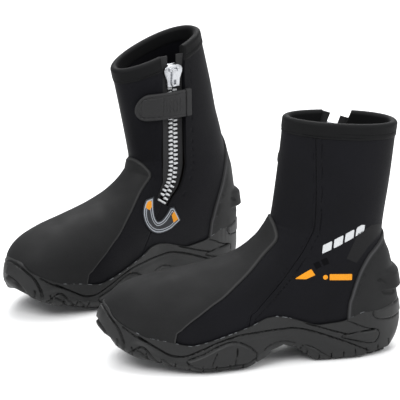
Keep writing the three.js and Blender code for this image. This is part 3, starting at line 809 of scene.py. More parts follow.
class Bench:
    """One rigid piece on the bench: primitives shaped in edit mode, in millimetres."""

    def __init__(self, name: str) -> None:
        """Clears the bench.

        Args:
            name: the piece's name.
        """
        self.name = name
        self.thing: Thing | None = None

    def block(self, size: Triple, centre: Triple = (0, 0, 0)) -> "Bench":
        """Starts from a cube primitive at its size and place.

        Args:
            size: its three sizes.
            centre: its middle.

        Returns:
            The bench.
        """
        bpy.ops.object.select_all(action="DESELECT")
        bpy.ops.mesh.primitive_cube_add(size=1, location=centre, scale=size)
        return self.started()

    def started(self) -> "Bench":
        """Names a new primitive and opens it in edit mode.

        Returns:
            The bench.
        """
        self.thing = bpy.context.active_object
        self.thing.name = self.name
        bpy.ops.object.transform_apply(location=True, rotation=True, scale=True)
        bpy.ops.object.mode_set(mode="EDIT")
        return self

    def pick(self, test: Callable[[Vector], bool], kind: str = "FACE") -> "Bench":
        """Selects what passes a test.

        Args:
            test: takes the middle of a face, or the place of a vertex.
            kind: FACE or VERT.

        Returns:
            The bench.
        """
        bpy.ops.mesh.select_mode(type=kind)
        bpy.ops.mesh.select_all(action="DESELECT")
        mesh = bmesh.from_edit_mesh(self.thing.data)
        if kind == "FACE":
            for face in mesh.faces:
                face.select_set(bool(test(face.calc_center_median())))
        else:
            for vertex in mesh.verts:
                vertex.select_set(bool(test(vertex.co)))
        mesh.select_flush_mode()
        bmesh.update_edit_mesh(self.thing.data)
        return self

    def everything(self) -> "Bench":
        """Selects the whole piece."""
        bpy.ops.mesh.select_all(action="SELECT")
        return self

    def slice(self, place: Triple, normal: Triple) -> "Bench":
        """Cuts the whole piece by a plane and keeps both sides.

        Args:
            place: a point of the plane.
            normal: the plane's direction.

        Returns:
            The bench.
        """
        self.everything()
        bpy.ops.mesh.bisect(plane_co=place, plane_no=normal)
        return self

    def size(self, factor: Triple, centre: Triple = (0, 0, 0)) -> "Bench":
        """Scales what is selected about a point."""
        bpy.ops.transform.resize(value=factor, center_override=centre)
        return self

    def done(self, soften: float = 0.0, segments: int = 2, angle: float = 35.0) -> Solid:
        """Leaves edit mode, rounds the edges and takes the piece off the bench.

        Args:
            soften: width of the bevel on every sharp edge.
            segments: steps of that bevel.
            angle: edges sharper than this, in degrees, get it.

        Returns:
            The closed piece.
        """
        self.everything()
        bpy.ops.mesh.remove_doubles(threshold=1e-3)
        bpy.ops.mesh.normals_make_consistent(inside=False)
        bpy.ops.object.mode_set(mode="OBJECT")
        if soften > 0:
            edge = self.thing.modifiers.new("Soft edges", "BEVEL")
            edge.width = soften
            edge.segments = segments
            edge.limit_method = "ANGLE"
            edge.angle_limit = math.radians(angle)
            bpy.ops.object.modifier_apply(modifier=edge.name)
        mesh = self.thing.data
        points = np.array([v.co for v in mesh.vertices], float).reshape(-1, 3)
        faces = [tuple(p.vertices) for p in mesh.polygons]
        bpy.data.objects.remove(self.thing)
        bpy.data.meshes.remove(mesh)
        self.thing = None
        return Solid(points, faces)


# ------------------------------------------------------------------ finishes
Colour = Triple


@dataclass
class Nodes:
    """A material being put together from nodes."""

    material: Material

    @classmethod
    def new(cls, name: str) -> "Nodes":
        """An empty material with a shader and an output.

        Args:
            name: its name.

        Returns:
            The new material's nodes.
        """
        material = bpy.data.materials.new(name)
        material.use_nodes = True
        return cls(material)

    @property
    def shader(self) -> bpy.types.Node:
        """The material's own shader."""
        return self.material.node_tree.nodes["Principled BSDF"]

    def add(self, kind: str, inputs: dict[str, object] | None = None, **settings: object) -> bpy.types.Node:
        """Adds a node.

        Args:
            kind: the node's type, without ShaderNode.
            inputs: what its sockets hold, or the socket that feeds them.
            settings: the node's own settings.

        Returns:
            The node.
        """
        node = self.material.node_tree.nodes.new("ShaderNode" + kind)
        for name, value in settings.items():
            setattr(node, name, value)
        for name, value in (inputs or {}).items():
            socket = node.inputs[int(name)] if name.isdigit() else node.inputs[name]
            if isinstance(value, Socket):
                self.material.node_tree.links.new(value, socket)
            else:
                socket.default_value = value
        return node

    def feed(self, name: str, source: Socket) -> None:
        """Feeds a socket of the shader."""
        self.material.node_tree.links.new(source, self.shader.inputs[name])

    def place(self, pattern: str = "object") -> Socket:
        """Where the pattern is read: on the piece's own coordinates or on its cloth map.

        Args:
            pattern: whether it follows the surface's own pattern.

        Returns:
            The socket that carries the result.
        """
        if pattern == "object":
            return self.add("TexCoord").outputs["Object"]
        return self.add("UVMap", uv_map=pattern).outputs["UV"]

    def mix(self, share: Socket, low: Colour, high: Colour | Socket) -> Socket:
        """A colour between two, by a share.

        Args:
            share: how much of the second colour shows.
            low: colour where the share is 0.
            high: colour where the share is 1.

        Returns:
            The socket that carries the result.
        """
        full = lambda colour: colour if isinstance(colour, Socket) else (*colour, 1.0)
        node = self.add("Mix", data_type="RGBA")
        node.inputs["Factor"].default_value = 0.5
        self.material.node_tree.links.new(share, node.inputs["Factor"])
        for socket, value in ((node.inputs[6], full(low)), (node.inputs[7], full(high))):
            if isinstance(value, Socket):
                self.material.node_tree.links.new(value, socket)
            else:
                socket.default_value = value
        return node.outputs[2]

    def span(self, source: Socket, low: float, high: float, out_low: float, out_high: float) -> Socket:
        """A value brought from one range to another."""
        node = self.add(
            "MapRange",
            {"Value": source, "From Min": low, "From Max": high, "To Min": out_low, "To Max": out_high}
        )
        return node.outputs["Result"]

    def bump(self, height: Socket, strength: float, distance: float,
             before: Socket | None = None) -> Socket:
        """A surface normal lifted by a height.

        Args:
            height: the height.
            strength: how strongly it shows.
            distance: depth in metres.
            before: a bump that it adds to.

        Returns:
            The socket that carries the result.
        """
        inputs: dict[str, object] = {"Height": height, "Strength": strength, "Distance": distance}
        if before is not None:
            inputs["Normal"] = before
        return self.add("Bump", inputs).outputs["Normal"]

    def noise(self, place: Socket, grain_mm: float, detail: float = 2.0) -> Socket:
        """Soft noise whose spots are about some millimetres wide."""
        node = self.add("TexNoise", {"Vector": place, "Scale": 1000.0 / grain_mm, "Detail": detail})
        return node.outputs["Fac"]


@dataclass(frozen=True)
class Knit:
    """Stretch nylon jersey on neoprene: fine ribs and rows of loops, soft broad shading."""

    colour: Colour
    loop_mm: float = 0.9
    roughness: float = 0.62
    sheen: float = 0.03
    gloss: float = 0.1

    def material(self, name: str) -> Material:
        """Builds the material.

        Args:
            name: its name.

        Returns:
            The material.
        """
        n = Nodes.new(name)
        flat, solid = n.place("cloth"), n.place()
        ribs = n.add("TexWave", {"Vector": flat, "Scale": 0.3142 / self.loop_mm, "Distortion": 0.4,
                                 "Detail Scale": 2.0}, wave_type="BANDS", bands_direction="X")
        rows = n.add("TexWave", {"Vector": flat, "Scale": 0.3142 / (self.loop_mm * 0.75), "Distortion": 0.6,
                                 "Detail Scale": 2.0}, wave_type="BANDS", bands_direction="Y")
        loops = n.add(
            "Math", {"0": ribs.outputs["Fac"], "1": rows.outputs["Fac"]}, operation="MULTIPLY"
        ).outputs[0]
        broad = n.noise(solid, 45.0, 1.0)
        fuzz = n.noise(solid, 1.6, 3.0)
        tone = n.mix(
            n.span(broad, 0.3, 0.7, 0.0, 1.0), tuple(c * 0.82 for c in self.colour),
            tuple(c * 1.2 for c in self.colour)
        )
        n.feed("Base Color", tone)
        n.feed("Roughness", n.span(fuzz, 0.3, 0.7, self.roughness - 0.06, self.roughness + 0.08))
        soft = n.bump(broad, 0.25, 0.004)
        n.feed("Normal", n.bump(loops, 0.35, 0.00012, n.bump(fuzz, 0.12, 0.0002, soft)))
        n.shader.inputs["Sheen Weight"].default_value = self.sheen
        n.shader.inputs["Sheen Roughness"].default_value = 0.45
        n.shader.inputs["Specular IOR Level"].default_value = self.gloss
        return n.material


@dataclass(frozen=True)
class Rubber:
    """Moulded or laminated rubber: fine mottled grain, and a second colour on a marked band: paler along the
    guards' rims, painted shade in the sole's grooves.
    """

    colour: Colour
    grain_mm: float = 0.8
    grain: float = 0.25
    roughness: float = 0.5
    edge: Colour | None = None
    mottle: float = 0.25
    gloss: float = 0.25

    def material(self, name: str) -> Material:
        """Builds the material.

        Args:
            name: its name.

        Returns:
            The material.
        """
        n = Nodes.new(name)
        solid = n.place()
        fine = n.noise(solid, self.grain_mm, 3.0)
        broad = n.noise(solid, 22.0, 2.0)
        dark, pale = (tuple(c * (1 + sign * self.mottle) for c in self.colour) for sign in (-1, 1))
        colour = n.mix(n.span(fine, 0.3, 0.7, 0.0, 1.0), dark, pale)
        # Second colour laid over the edge attribute: paler on the guards' rims, painted shade darkening the sole's
        # sunk grooves.
        if self.edge is not None:
            mark = n.add("Attribute", attribute_name="edge").outputs["Fac"]
            colour = self.edged(n, mark, colour)
        n.feed("Base Color", colour)
        n.feed("Roughness", n.span(broad, 0.3, 0.7, self.roughness - 0.07, self.roughness + 0.07))
        n.feed("Normal", n.bump(fine, self.grain, 0.0002, n.bump(broad, 0.12, 0.0015)))
        n.shader.inputs["Specular IOR Level"].default_value = self.gloss
        return n.material

    def edged(self, n: Nodes, mark: Socket, colour: Socket) -> Socket:
        """The grain's colour with a second colour laid over the marked band: paler on the guards' rims, painted
        shade darker in the sole's grooves.

        Args:
            n: the material's nodes.
            mark: where the worn edge is.
            colour: the colour away from the edge.

        Returns:
            The socket that carries the result.
        """
        node = n.add("Mix", data_type="RGBA")
        links = n.material.node_tree.links
        links.new(mark, node.inputs["Factor"])
        links.new(colour, node.inputs[6])
        node.inputs[7].default_value = (*self.edge, 1.0)
        return node.outputs[2]


@dataclass(frozen=True)
class Cast:
    """Bright cast or moulded trim: metal or hard plastic with small flow marks."""

    colour: Colour
    metallic: float = 0.0
    roughness: float = 0.3
    marks: float = 0.1

    def material(self, name: str) -> Material:
        """Builds the material.

        Args:
            name: its name.

        Returns:
            The material.
        """
        n = Nodes.new(name)
        solid = n.place()
        fine = n.noise(solid, 0.7, 2.0)
        n.feed("Base Color", n.mix(fine, tuple(c * 0.94 for c in self.colour), self.colour))
        n.feed("Roughness", n.span(fine, 0.3, 0.7, self.roughness * 0.75, self.roughness * 1.3))
        n.feed("Normal", n.bump(fine, self.marks, 0.0001))
        n.shader.inputs["Metallic"].default_value = self.metallic
        return n.material


@dataclass(frozen=True)
class Woven:
    """Plain woven tape or nap: crossing yarns read along the piece."""

    colour: Colour
    yarn_mm: float = 0.6
    roughness: float = 0.8

    def material(self, name: str) -> Material:
        """Builds the material.

        Args:
            name: its name.

        Returns:
            The material.
        """
        n = Nodes.new(name)
        flat = n.place("cloth")
        warp = n.add(
            "TexWave", {"Vector": flat, "Scale": 0.3142 / self.yarn_mm}, bands_direction="X"
        ).outputs["Fac"]
        weft = n.add(
            "TexWave", {"Vector": flat, "Scale": 0.3142 / self.yarn_mm}, bands_direction="Y"
        ).outputs["Fac"]
        weave = n.add("Math", {"0": warp, "1": weft}, operation="MULTIPLY").outputs[0]
        n.feed(
            "Base Color",
            n.mix(weave, tuple(c * 0.6 for c in self.colour), tuple(c * 1.3 for c in self.colour))
        )
        n.feed("Normal", n.bump(weave, 0.5, 0.0002))
        n.shader.inputs["Roughness"].default_value = self.roughness
        return n.material


@dataclass(frozen=True)
class Ink:
    """Thin flexible print on the jersey, with the knit showing faintly through."""

    colour: Colour
    roughness: float = 0.45
    gloss: float = 0.2

    def material(self, name: str) -> Material:
        """Builds the material.

        Args:
            name: its name.

        Returns:
            The material.
        """
        n = Nodes.new(name)
        solid = n.place()
        fine = n.noise(solid, 0.9, 2.0)
        n.feed(
            "Base Color",
            n.mix(n.span(fine, 0.35, 0.65, 0.0, 1.0), tuple(c * 0.9 for c in self.colour), self.colour)
        )
        n.feed("Roughness", n.span(fine, 0.3, 0.7, self.roughness - 0.08, self.roughness + 0.08))
        n.feed("Normal", n.bump(fine, 0.15, 0.0001))
        n.shader.inputs["Specular IOR Level"].default_value = self.gloss
        return n.material


class Finish(Enum):
    """The boots' finishes: each one's name, make and record slot."""

    NEOPRENE = ("Black jersey neoprene", Knit((0.0022, 0.0022, 0.0034)), "neoprene")
    LINING = ("Brown black lining", Knit((0.008, 0.006, 0.005), 1.2, 0.8), "neoprene")
    HEM = ("Folded jersey hem", Knit((0.0034, 0.0035, 0.0038), 0.8), "hem_cloth")
    GUARD = (
        "Laminated toe rubber",
        Rubber((0.009, 0.0091, 0.0094), 0.9, 0.3, 0.68, (0.03, 0.03, 0.03), 0.2, 0.14), "guard_rubber"
    )
    HEEL = (
        "Moulded heel rubber",
        Rubber((0.0085, 0.0087, 0.009), 1.2, 0.2, 0.62, (0.04, 0.04, 0.042), 0.15, 0.16), "guard_rubber"
    )
    # Outsole: its second, darker colour is painted shade, laid into the wall's sunk grooves and areas.
    SOLE = (
        "Outsole rubber",
        Rubber((0.0115, 0.0117, 0.0118), 1.5, 0.15, 0.5, (0.0032, 0.0032, 0.0032), 0.12, 0.25),
        "sole_rubber"
    )
    TREAD = ("Tread rubber", Rubber((0.009, 0.009, 0.009), 1.3, 0.2, 0.6), "sole_rubber")
    STRAP = (
        "Moulded strap rubber",
        Rubber((0.019, 0.019, 0.0195), 0.9, 0.25, 0.55, (0.005, 0.005, 0.005), 0.2, 0.2), "strap_rubber"
    )
    FOOTBED = ("Footbed foam", Rubber((0.006, 0.006, 0.0065), 1.4, 0.5, 0.9), "insole_foam")
    TAPE = ("Woven zip tape", Woven((0.006, 0.006, 0.007)), "zip_tape")
    NAP = ("Hook and loop", Woven((0.005, 0.005, 0.0055), 0.9, 0.95), "hook_loop")
    TEETH = ("Moulded zip teeth", Cast((0.5, 0.51, 0.52), 0.0, 0.4), "zip_teeth")
    CHROME = ("Bright slider metal", Cast((0.5, 0.51, 0.53), 1.0, 0.3), "slider_metal")
    BADGE = ("Badge rubber", Rubber((0.014, 0.016, 0.019), 0.7, 0.2, 0.5), "badge_rubber")
    SILVER = ("Silver print", Ink((0.3, 0.32, 0.35)), "badge_rubber")
    PALE = ("White print", Ink((0.47, 0.48, 0.49)), "neoprene")
    ORANGE = ("Orange print", Ink((0.62, 0.235, 0.006)), "badge_rubber")
    GLOSS = ("Black gloss print", Ink((0.0006, 0.0006, 0.0012), 0.4, 0.06), "neoprene")
    GREY = ("Faint grey print", Ink((0.0062, 0.0062, 0.0068), 0.6, 0.14), "neoprene")
    GLUE = ("Glue line", Ink((0.1, 0.105, 0.11), 0.25), "sole_rubber")

    @property
    def material(self) -> Material:
        """The finish's material, made once."""
        name, make, _ = self.value
        return bpy.data.materials.get(name) or make.material(name)

    @property
    def slot(self) -> str:
        """The record's slot that it stands for."""
        return self.value[2]


# ------------------------------------------------------------------ the zip's line
@dataclass(frozen=True)
class Frames:
    """Places down the zip: points, and directions to the rear, up the zip and outwards."""

    point: Array
    rear: Array
    up: Array
    out: Array

    def place(self, x: float | Array, y: float | Array, n: float | Array) -> Array:
        """Points measured to the rear, up the zip and outwards."""
        spread = lambda value: np.broadcast_to(value, len(self.point))[:, None]
        return self.point + self.rear * spread(x) + self.up * spread(y) + self.out * spread(n)


@dataclass(frozen=True)
class ZipLine:
    """Line of the zip: straight down the shaft, then bent along the ankle."""

    top: Array
    up: Array
    out: Array
    rear: Array
    bend: Array
    end_out: Array

    @classmethod
    def of(cls, stance: Stance, form: Form) -> "ZipLine":
        """The zip of one boot, from its joints and its form.

        Args:
            stance: how the boot stands.
            form: the boot's form.

        Returns:
            The zip's line.
        """
        joints = {j["name"]: j for j in frame["joints"]}
        travel, swing = joints[f"{stance.side}_zip_travel"], joints[f"{stance.side}_pull_swing"]
        up = -unit(stance.turned(travel["axis"]))
        rear = unit(stance.turned(swing["axis"]))
        rear = rear if rear[0] < 0 else -rear
        out = unit(np.cross(up, rear))
        out = out if out[1] < 0 else -out
        top = stance.local(swing["pos_m"]) - up * PULL_UP - out * PULL_OUT + up * SLIDER_DOWN
        knee = form.on_side(form.side([ZIP_STRAIGHT[1]]), True)[0]
        length = float((top - knee) @ up)
        places = form.side(ZIP_BEND)
        bend = np.vstack([top - up * length, form.on_side(places, True)])
        near = form.on_side(places[-1] + np.array([[0, 0], [2, 0], [0, 2]]), True)
        end_out = unit(np.cross(near[1] - near[0], near[2] - near[0]))
        return cls(top, up, out, rear, curve(bend, 1.0), end_out if end_out[1] < 0 else -end_out)

    @property
    def straight(self) -> float:
        """Length of the straight part."""
        return float((self.top - self.bend[0]) @ self.up)

    @property
    def length(self) -> float:
        """Length from the collar to the lower end."""
        return self.straight + float(np.linalg.norm(np.diff(self.bend, axis=0), axis=1).sum())

    def at(self, distances: Sequence[float] | Array) -> Frames:
        """Frames at distances down from the collar.

        Args:
            distances: distances down from the collar.

        Returns:
            The frames.
        """
        distances = np.atleast_1d(np.asarray(distances, float))
        steps = np.linalg.norm(np.diff(self.bend, axis=0), axis=1)
        gone = self.straight + np.concatenate([[0], np.cumsum(steps)])
        inside = np.clip(distances, gone[0], gone[-1])
        bent = np.stack([np.interp(inside, gone, self.bend[:, k]) for k in range(3)], 1)
        tangent = -unit(np.gradient(self.bend, axis=0))
        up = unit(np.stack([np.interp(inside, gone, tangent[:, k]) for k in range(3)], 1))
        low = (distances > gone[0])[:, None]
        up = np.where(low, up, self.up)
        point = np.where(
            low, bent - up * (distances - inside)[:, None], self.top - self.up * distances[:, None]
        )
        share = smooth(distances, gone[0], gone[-1])[:, None]
        out = unit(self.out * (1 - share) + self.end_out * share)
        out = unit(out - up * (out * up).sum(1, keepdims=True))
        rear = unit(np.cross(up, out))
        rear = np.where((rear[:, :1] < 0), rear, -rear)
        return Frames(point, rear, up, out)

    def across(self, points: Array) -> tuple[Array, Array]:
        """How far points lie to the rear of the zip, and how far down from the collar.

        Args:
            points: places, in millimetres.

        Returns:
            Distance across the zip and down from the collar.
        """
        stops = np.arange(-30, self.length + 20, 1.0)
        frames = self.at(stops)
        line = frames.point[:, [0, 2]]
        _, along = line_distance(points[:, [0, 2]], line)
        gone = np.concatenate([[0], np.cumsum(np.linalg.norm(np.diff(line, axis=0), axis=1))])
        down = np.interp(along, gone, stops)
        near = self.at(down)
        return ((points - near.point) * near.rear).sum(1), down

    def half(self, down: Array) -> Array:
        """Half of the zip opening at distances down from the collar.

        Args:
            down: distances down from the collar.

        Returns:
            Half the opening at each distance.
        """
        notch = (NOTCH_HALF - SLOT_HALF) * (1 - smooth(down, 0, NOTCH_DEPTH))
        closing = (SLOT_HALF - SLOT_END_HALF) * smooth(down, self.straight, self.length)
        return SLOT_HALF + notch - closing

    def strip(
        self, start: float, end: float, section: Callable[[Array], list[tuple]], step: float = 2.0
    ) -> Solid:
        """Closed strip down the zip.

        Args:
            start: where it begins, down from the collar.
            end: where it ends.
            section: corners of its section, to the rear and outwards, at each distance.
            step: length of its stretches.

        Returns:
            The closed piece.
        """
        stops = np.linspace(start, end, max(2, round((end - start) / step) + 1))
        frames = self.at(stops)
        return loft(np.stack([frames.place(x, 0, n) for x, n in section(stops)], 1))

    def seat(self, solid: Solid, distance: float) -> Solid:
        """A piece drawn to the rear, up and outwards, set in its place on the zip.

        Args:
            solid: the piece, drawn about the zip's middle line.
            distance: how far down from the collar.

        Returns:
            The closed piece.
        """
        frames = self.at([distance])
        axes = np.array([frames.rear[0], frames.up[0], frames.out[0]])
        return Solid(frames.point[0] + solid.points @ axes, solid.faces, solid.cloth, solid.marks)


# ------------------------------------------------------------------ a boot and its pieces
@dataclass
class Boot:
    """One boot: where it stands, its form, its zip and its skin sheet."""

    stance: Stance
    form: Form
    zip: ZipLine
    skin: Sheet

    @classmethod
    def of(cls, side: str) -> "Boot":
        """The left or the right boot.

        Args:
            side: left or right.

        Returns:
            The boot.
        """
        low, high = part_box("left_sole")
        size = (Vector(high) - Vector(low)) / MM
        form = Form(LEAN[side], size.x / BASE_LENGTH, size.y / BASE_WIDTH)
        stance = Stance.of(side)
        return cls(stance, form, ZipLine.of(stance, form), cls.whole_skin(form))

    @staticmethod
    def whole_skin(form: Form, step: float = 2.4) -> Sheet:
        """Sheet over the whole form, from the collar to the closed toe.

        Args:
            form: the boot's form.
            step: size of the faces.

        Returns:
            The sheet.
        """
        rows: list[float] = []
        for k in range(len(STATIONS) - 1):
            a, b = form.side(STATIONS[k : k + 2, 0:2]), form.side(STATIONS[k : k + 2, 2:4])
            span = max(np.linalg.norm(a[1] - a[0]), np.linalg.norm(b[1] - b[0]))
            count = max(2, math.ceil(span / step))
            rows.extend(k + np.arange(count) / count)
        us = np.array([*rows, len(STATIONS) - 1.0])
        vs = np.linspace(-0.5, 0.5, 141)
        sheet = Sheet.of_form(form, us, vs)
        ring = sheet.base[-len(vs):]
        middle = ring.mean(0)
        base, outward, cloth = [sheet.base], [sheet.outward], [sheet.cloth]
        for turn in np.radians([25, 50, 72, 90]):
            base.append(middle + (ring - middle) * math.cos(turn) + [3.0 * math.sin(turn), 0, 0])
            tilt = sheet.outward[-len(vs):] * math.cos(turn) + np.array([math.sin(turn), 0, 0])
            outward.append(unit(tilt))
            cloth.append(sheet.cloth[-len(vs):] + [0, 8 * math.sin(turn)])
        return Sheet.grid(len(us) + 4, len(vs), np.vstack(base), np.vstack(outward), np.vstack(cloth))

    @property
    def side(self) -> str:
        """Left or right."""
        return self.stance.side

    def window(self, u: tuple[float, float], v: tuple[float, float], step: float) -> Sheet:
        """Fine sheet over part of the form.

        Args:
            u: range round the boot.
            v: range down the boot.
            step: size of the faces.

        Returns:
            The sheet.
        """
        mid_u, mid_v = sum(u) / 2, sum(v) / 2
        tall = np.linalg.norm(np.diff(self.form.point(np.array(u), np.full(2, mid_v)), axis=0))
        wide = np.linalg.norm(
            np.diff(self.form.point(np.full(3, mid_u), np.array([v[0], mid_v, v[1]])), axis=0), axis=1
        ).sum()
        return Sheet.of_form(
            self.form, np.linspace(*u, round(tall / step)), np.linspace(*v, round(wide / step))
        )

    def beyond(self, line: Outline, knots: bool = True) -> Measure:
        """Measure of a side view line drawn downwards: above zero on its toe side."""
        shape = self.form.side(curve(line, 3.0) if knots else line)
        return lambda p: line_distance(p[:, [0, 2]], shape)[0]

    def within(self, outline: Outline | Array, radius: float = 0.0) -> Measure:
        """Measure of a closed side view outline, above zero inside it.

        Args:
            outline: corners of the outline.
            radius: radius of its corners.

        Returns:
            The measure.
        """
        closed = rounded(outline, radius) if radius else np.vstack([outline, outline[:1]])
        shape = self.form.side(closed)
        return lambda p: inside_distance(p[:, [0, 2]], shape)

    def below_collar(self, points: Array) -> Array:
        """Distance down from the plane of the collar.

        Args:
            points: places, in millimetres.

        Returns:
            Distance below the collar at each place.
        """
        front, back = self.form.side(STATIONS[0, [0, 1, 2, 3]].reshape(2, 2))
        along = unit(front - back)
        return (points[:, [0, 2]] - front) @ np.array([along[1], -along[0]])

    def above_sole(self, sink: float) -> Measure:
        """Measure above zero over a line some millimetres below the sole's top edge."""
        line = SOLE_TOP * [self.form.length, 1] - [0, sink]
        return lambda p: p[:, 2] - np.interp(p[:, 0], line[:, 0], line[:, 1])

    def keep(
        self, solid: Solid, name: str, finish: Finish, body: str, nodes: Sequence[str] = (),
        angle: float = 40.0
    ) -> Thing:
        """Makes a piece of the boot: its object, its body and what it replaces.

        Args:
            solid: its shape, in the boot's own frame.
            name: its name, without the side.
            finish: its finish.
            body: the body that it rides on, without the side.
            nodes: the CAD solids that it stands for, without the side.
            angle: edges sharper than this stay sharp.

        Returns:
            The finished piece.
        """
        thing = solid.object(f"{self.side}_{name}", self.stance, finish.material, angle)
        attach(thing, f"{self.side}_{body}")
        if nodes:
            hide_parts(*(f"{self.side}_{node}" for node in nodes))
        finish.slot
        return thing


@dataclass(frozen=True)
class Upper:
    """The neoprene upper: two panels, the hem round the collar and the footbed."""

    strip_width: float = 4.5
    strip_rise: float = 0.35
    facing: float = 21.0
    stitch: float = 0.35
    fold: float = 3.4
    slider_room: float = 1.2

    def split(self, boot: Boot) -> Measure:
        """Measure that is above zero on the front panel.

        Args:
            boot: the boot.

        Returns:
            The measure.
        """
        outer = boot.beyond(OUTER_SEAM)
        inner_line = boot.form.side([[52, 262], *ZIP_STRAIGHT, *ZIP_BEND, *INNER_SEAM])
        inner = lambda p: line_distance(p[:, [0, 2]], inner_line)[0]
        return lambda p: np.where(p[:, 1] >= 0, outer(p), inner(p))

    def slot(self, boot: Boot, ease: float = 0.0) -> Measure:
        """Measure that is above zero outside the zip's opening.

        Args:
            boot: the boot.
            ease: how much wider than the opening.

        Returns:
            The measure.
        """
        def measure(points: Array) -> Array:
            """Above zero outside the opening."""
            x, down = boot.zip.across(points)
            side = np.abs(x) - boot.zip.half(down) - ease
            past = down - boot.zip.length
            away = np.where(past > 0, np.hypot(np.maximum(side, 0), past) * np.where(past > 0, 1, -1), side)
            return np.where(points[:, 1] >= 0, 50.0, np.where(past > 0, away, side))
        return measure

    def build(self, boot: Boot) -> list[Thing]:
        """Builds the upper of one boot.

        Args:
            boot: the boot.

        Returns:
            The finished pieces.
        """
        split, slot = self.split(boot), self.slot(boot, self.slider_room)
        whole = boot.skin.copy().cut(lambda p: boot.below_collar(p) - HEM_HEIGHT - GAP).cut(slot)
        seam = lambda p: np.where(p[:, 1] >= 0, -split(p), -50.0)
        facing = self.slot(boot, self.facing - SLOT_HALF)
        made: list[Thing] = []
        for name, sign in (("front", 1), ("rear", -1)):
            sheet = whole.copy().cut(lambda p: sign * split(p) - GAP / 2)
            stitched = lambda p: 0.7 - np.abs(facing(p))
            reliefs = [Relief(stitched, -self.stitch, 0.5)]
            if sign < 0:
                reliefs.append(
                    Relief(
                        lambda p: self.strip_width / 2 - np.abs(seam(p) - self.strip_width / 2),
                        self.strip_rise, 0.5
                    )
                )
                reliefs.append(Relief(lambda p: 0.8 - np.abs(seam(p) - self.strip_width - 0.8), -0.8, 0.5))
            else:
                reliefs.append(Relief(lambda p: 0.6 - np.abs(-seam(p) - 2.6), -0.5, 0.4))
            sheet.loops(lambda p: sign * split(p), 0.8)
            height = sheet.carve(reliefs)
            near = np.minimum(sign * split(sheet.base) - GAP / 2, 0.8) / 0.8
            height -= 0.5 * (1 - np.clip(near, 0, 1)) ** 2
            made.append(
                boot.keep(
                    shell(sheet, height, -NEOPRENE), f"{name}_neoprene", Finish.NEOPRENE, "boot",
                    [f"{name}_panel"]
                )
            )
        made.append(self.hem(boot))
        made.append(self.footbed(boot))
        return made

    def hem(self, boot: Boot) -> Thing:
        """The band folded over the collar's edge, open at the zip.

        Args:
            boot: the boot.

        Returns:
            The finished piece.
        """
        sheet = boot.window((0.0, 0.45), (-0.5, 0.5), 1.6)
        slot = self.slot(boot)
        sheet.cut(lambda p: HEM_HEIGHT - boot.below_collar(p)).cut(slot)
        sheet.loops(boot.below_collar, 0.12, 0.45, 1.0, 1.8, 2.7, self.fold).loops(slot, 0.2, 0.7, 1.5)
        lines = [Relief(
            lambda p, at=at: 0.6 - np.abs(boot.below_collar(p) - at), -0.6, 0.4
        ) for at in (9.6, 12.8)]
        height = HEM_SWELL + sheet.carve(lines)
        down, side = boot.below_collar(sheet.base), slot(sheet.base)
        half = (NEOPRENE + 2 * HEM_SWELL) / 2
        drop = lambda distance, reach: half * (
            1 - np.sqrt(np.clip(1 - (1 - np.clip(distance / reach, 0, 1)) ** 2, 0, 1))
        )
        fall = np.minimum(drop(down, self.fold) * 0.96, half * 0.98)
        fall = np.maximum(fall, drop(side, 1.5) * 0.5)
        lower = np.clip((HEM_HEIGHT - down) / 0.8, 0, 1)
        fall = np.maximum(fall, 0.5 * (1 - lower) ** 2)
        solid = shell(sheet, height - fall, -NEOPRENE - HEM_SWELL + fall)
        return boot.keep(solid, "collar_hem", Finish.HEM, "boot", ["collar_hem"])

    def footbed(self, boot: Boot) -> Thing:
        """The foam footbed: the CAD solid's volume, remeshed and rubbed until its edges are round.

        Args:
            boot: the boot.

        Returns:
            The finished piece.
        """
        node = frame["nodes"][f"{boot.side}_insole"]
        points = boot.stance.local(np.array([v.co for v in node.data.vertices]))
        solid = Solid(points, [tuple(p.vertices) for p in node.data.polygons])
        thing = boot.keep(solid, "footbed", Finish.FOOTBED, "boot", ["insole"])
        bpy.context.view_layer.objects.active = thing
        foam = thing.modifiers.new("Foam", "REMESH")
        foam.mode = "VOXEL"
        foam.voxel_size = MM * 1.4
        foam.use_smooth_shade = True
        rub = thing.modifiers.new("Round edges", "SMOOTH")
        rub.factor = 0.5
        rub.iterations = 3
        for modifier in (foam, rub):
            bpy.ops.object.modifier_apply(modifier=modifier.name)
        return thing


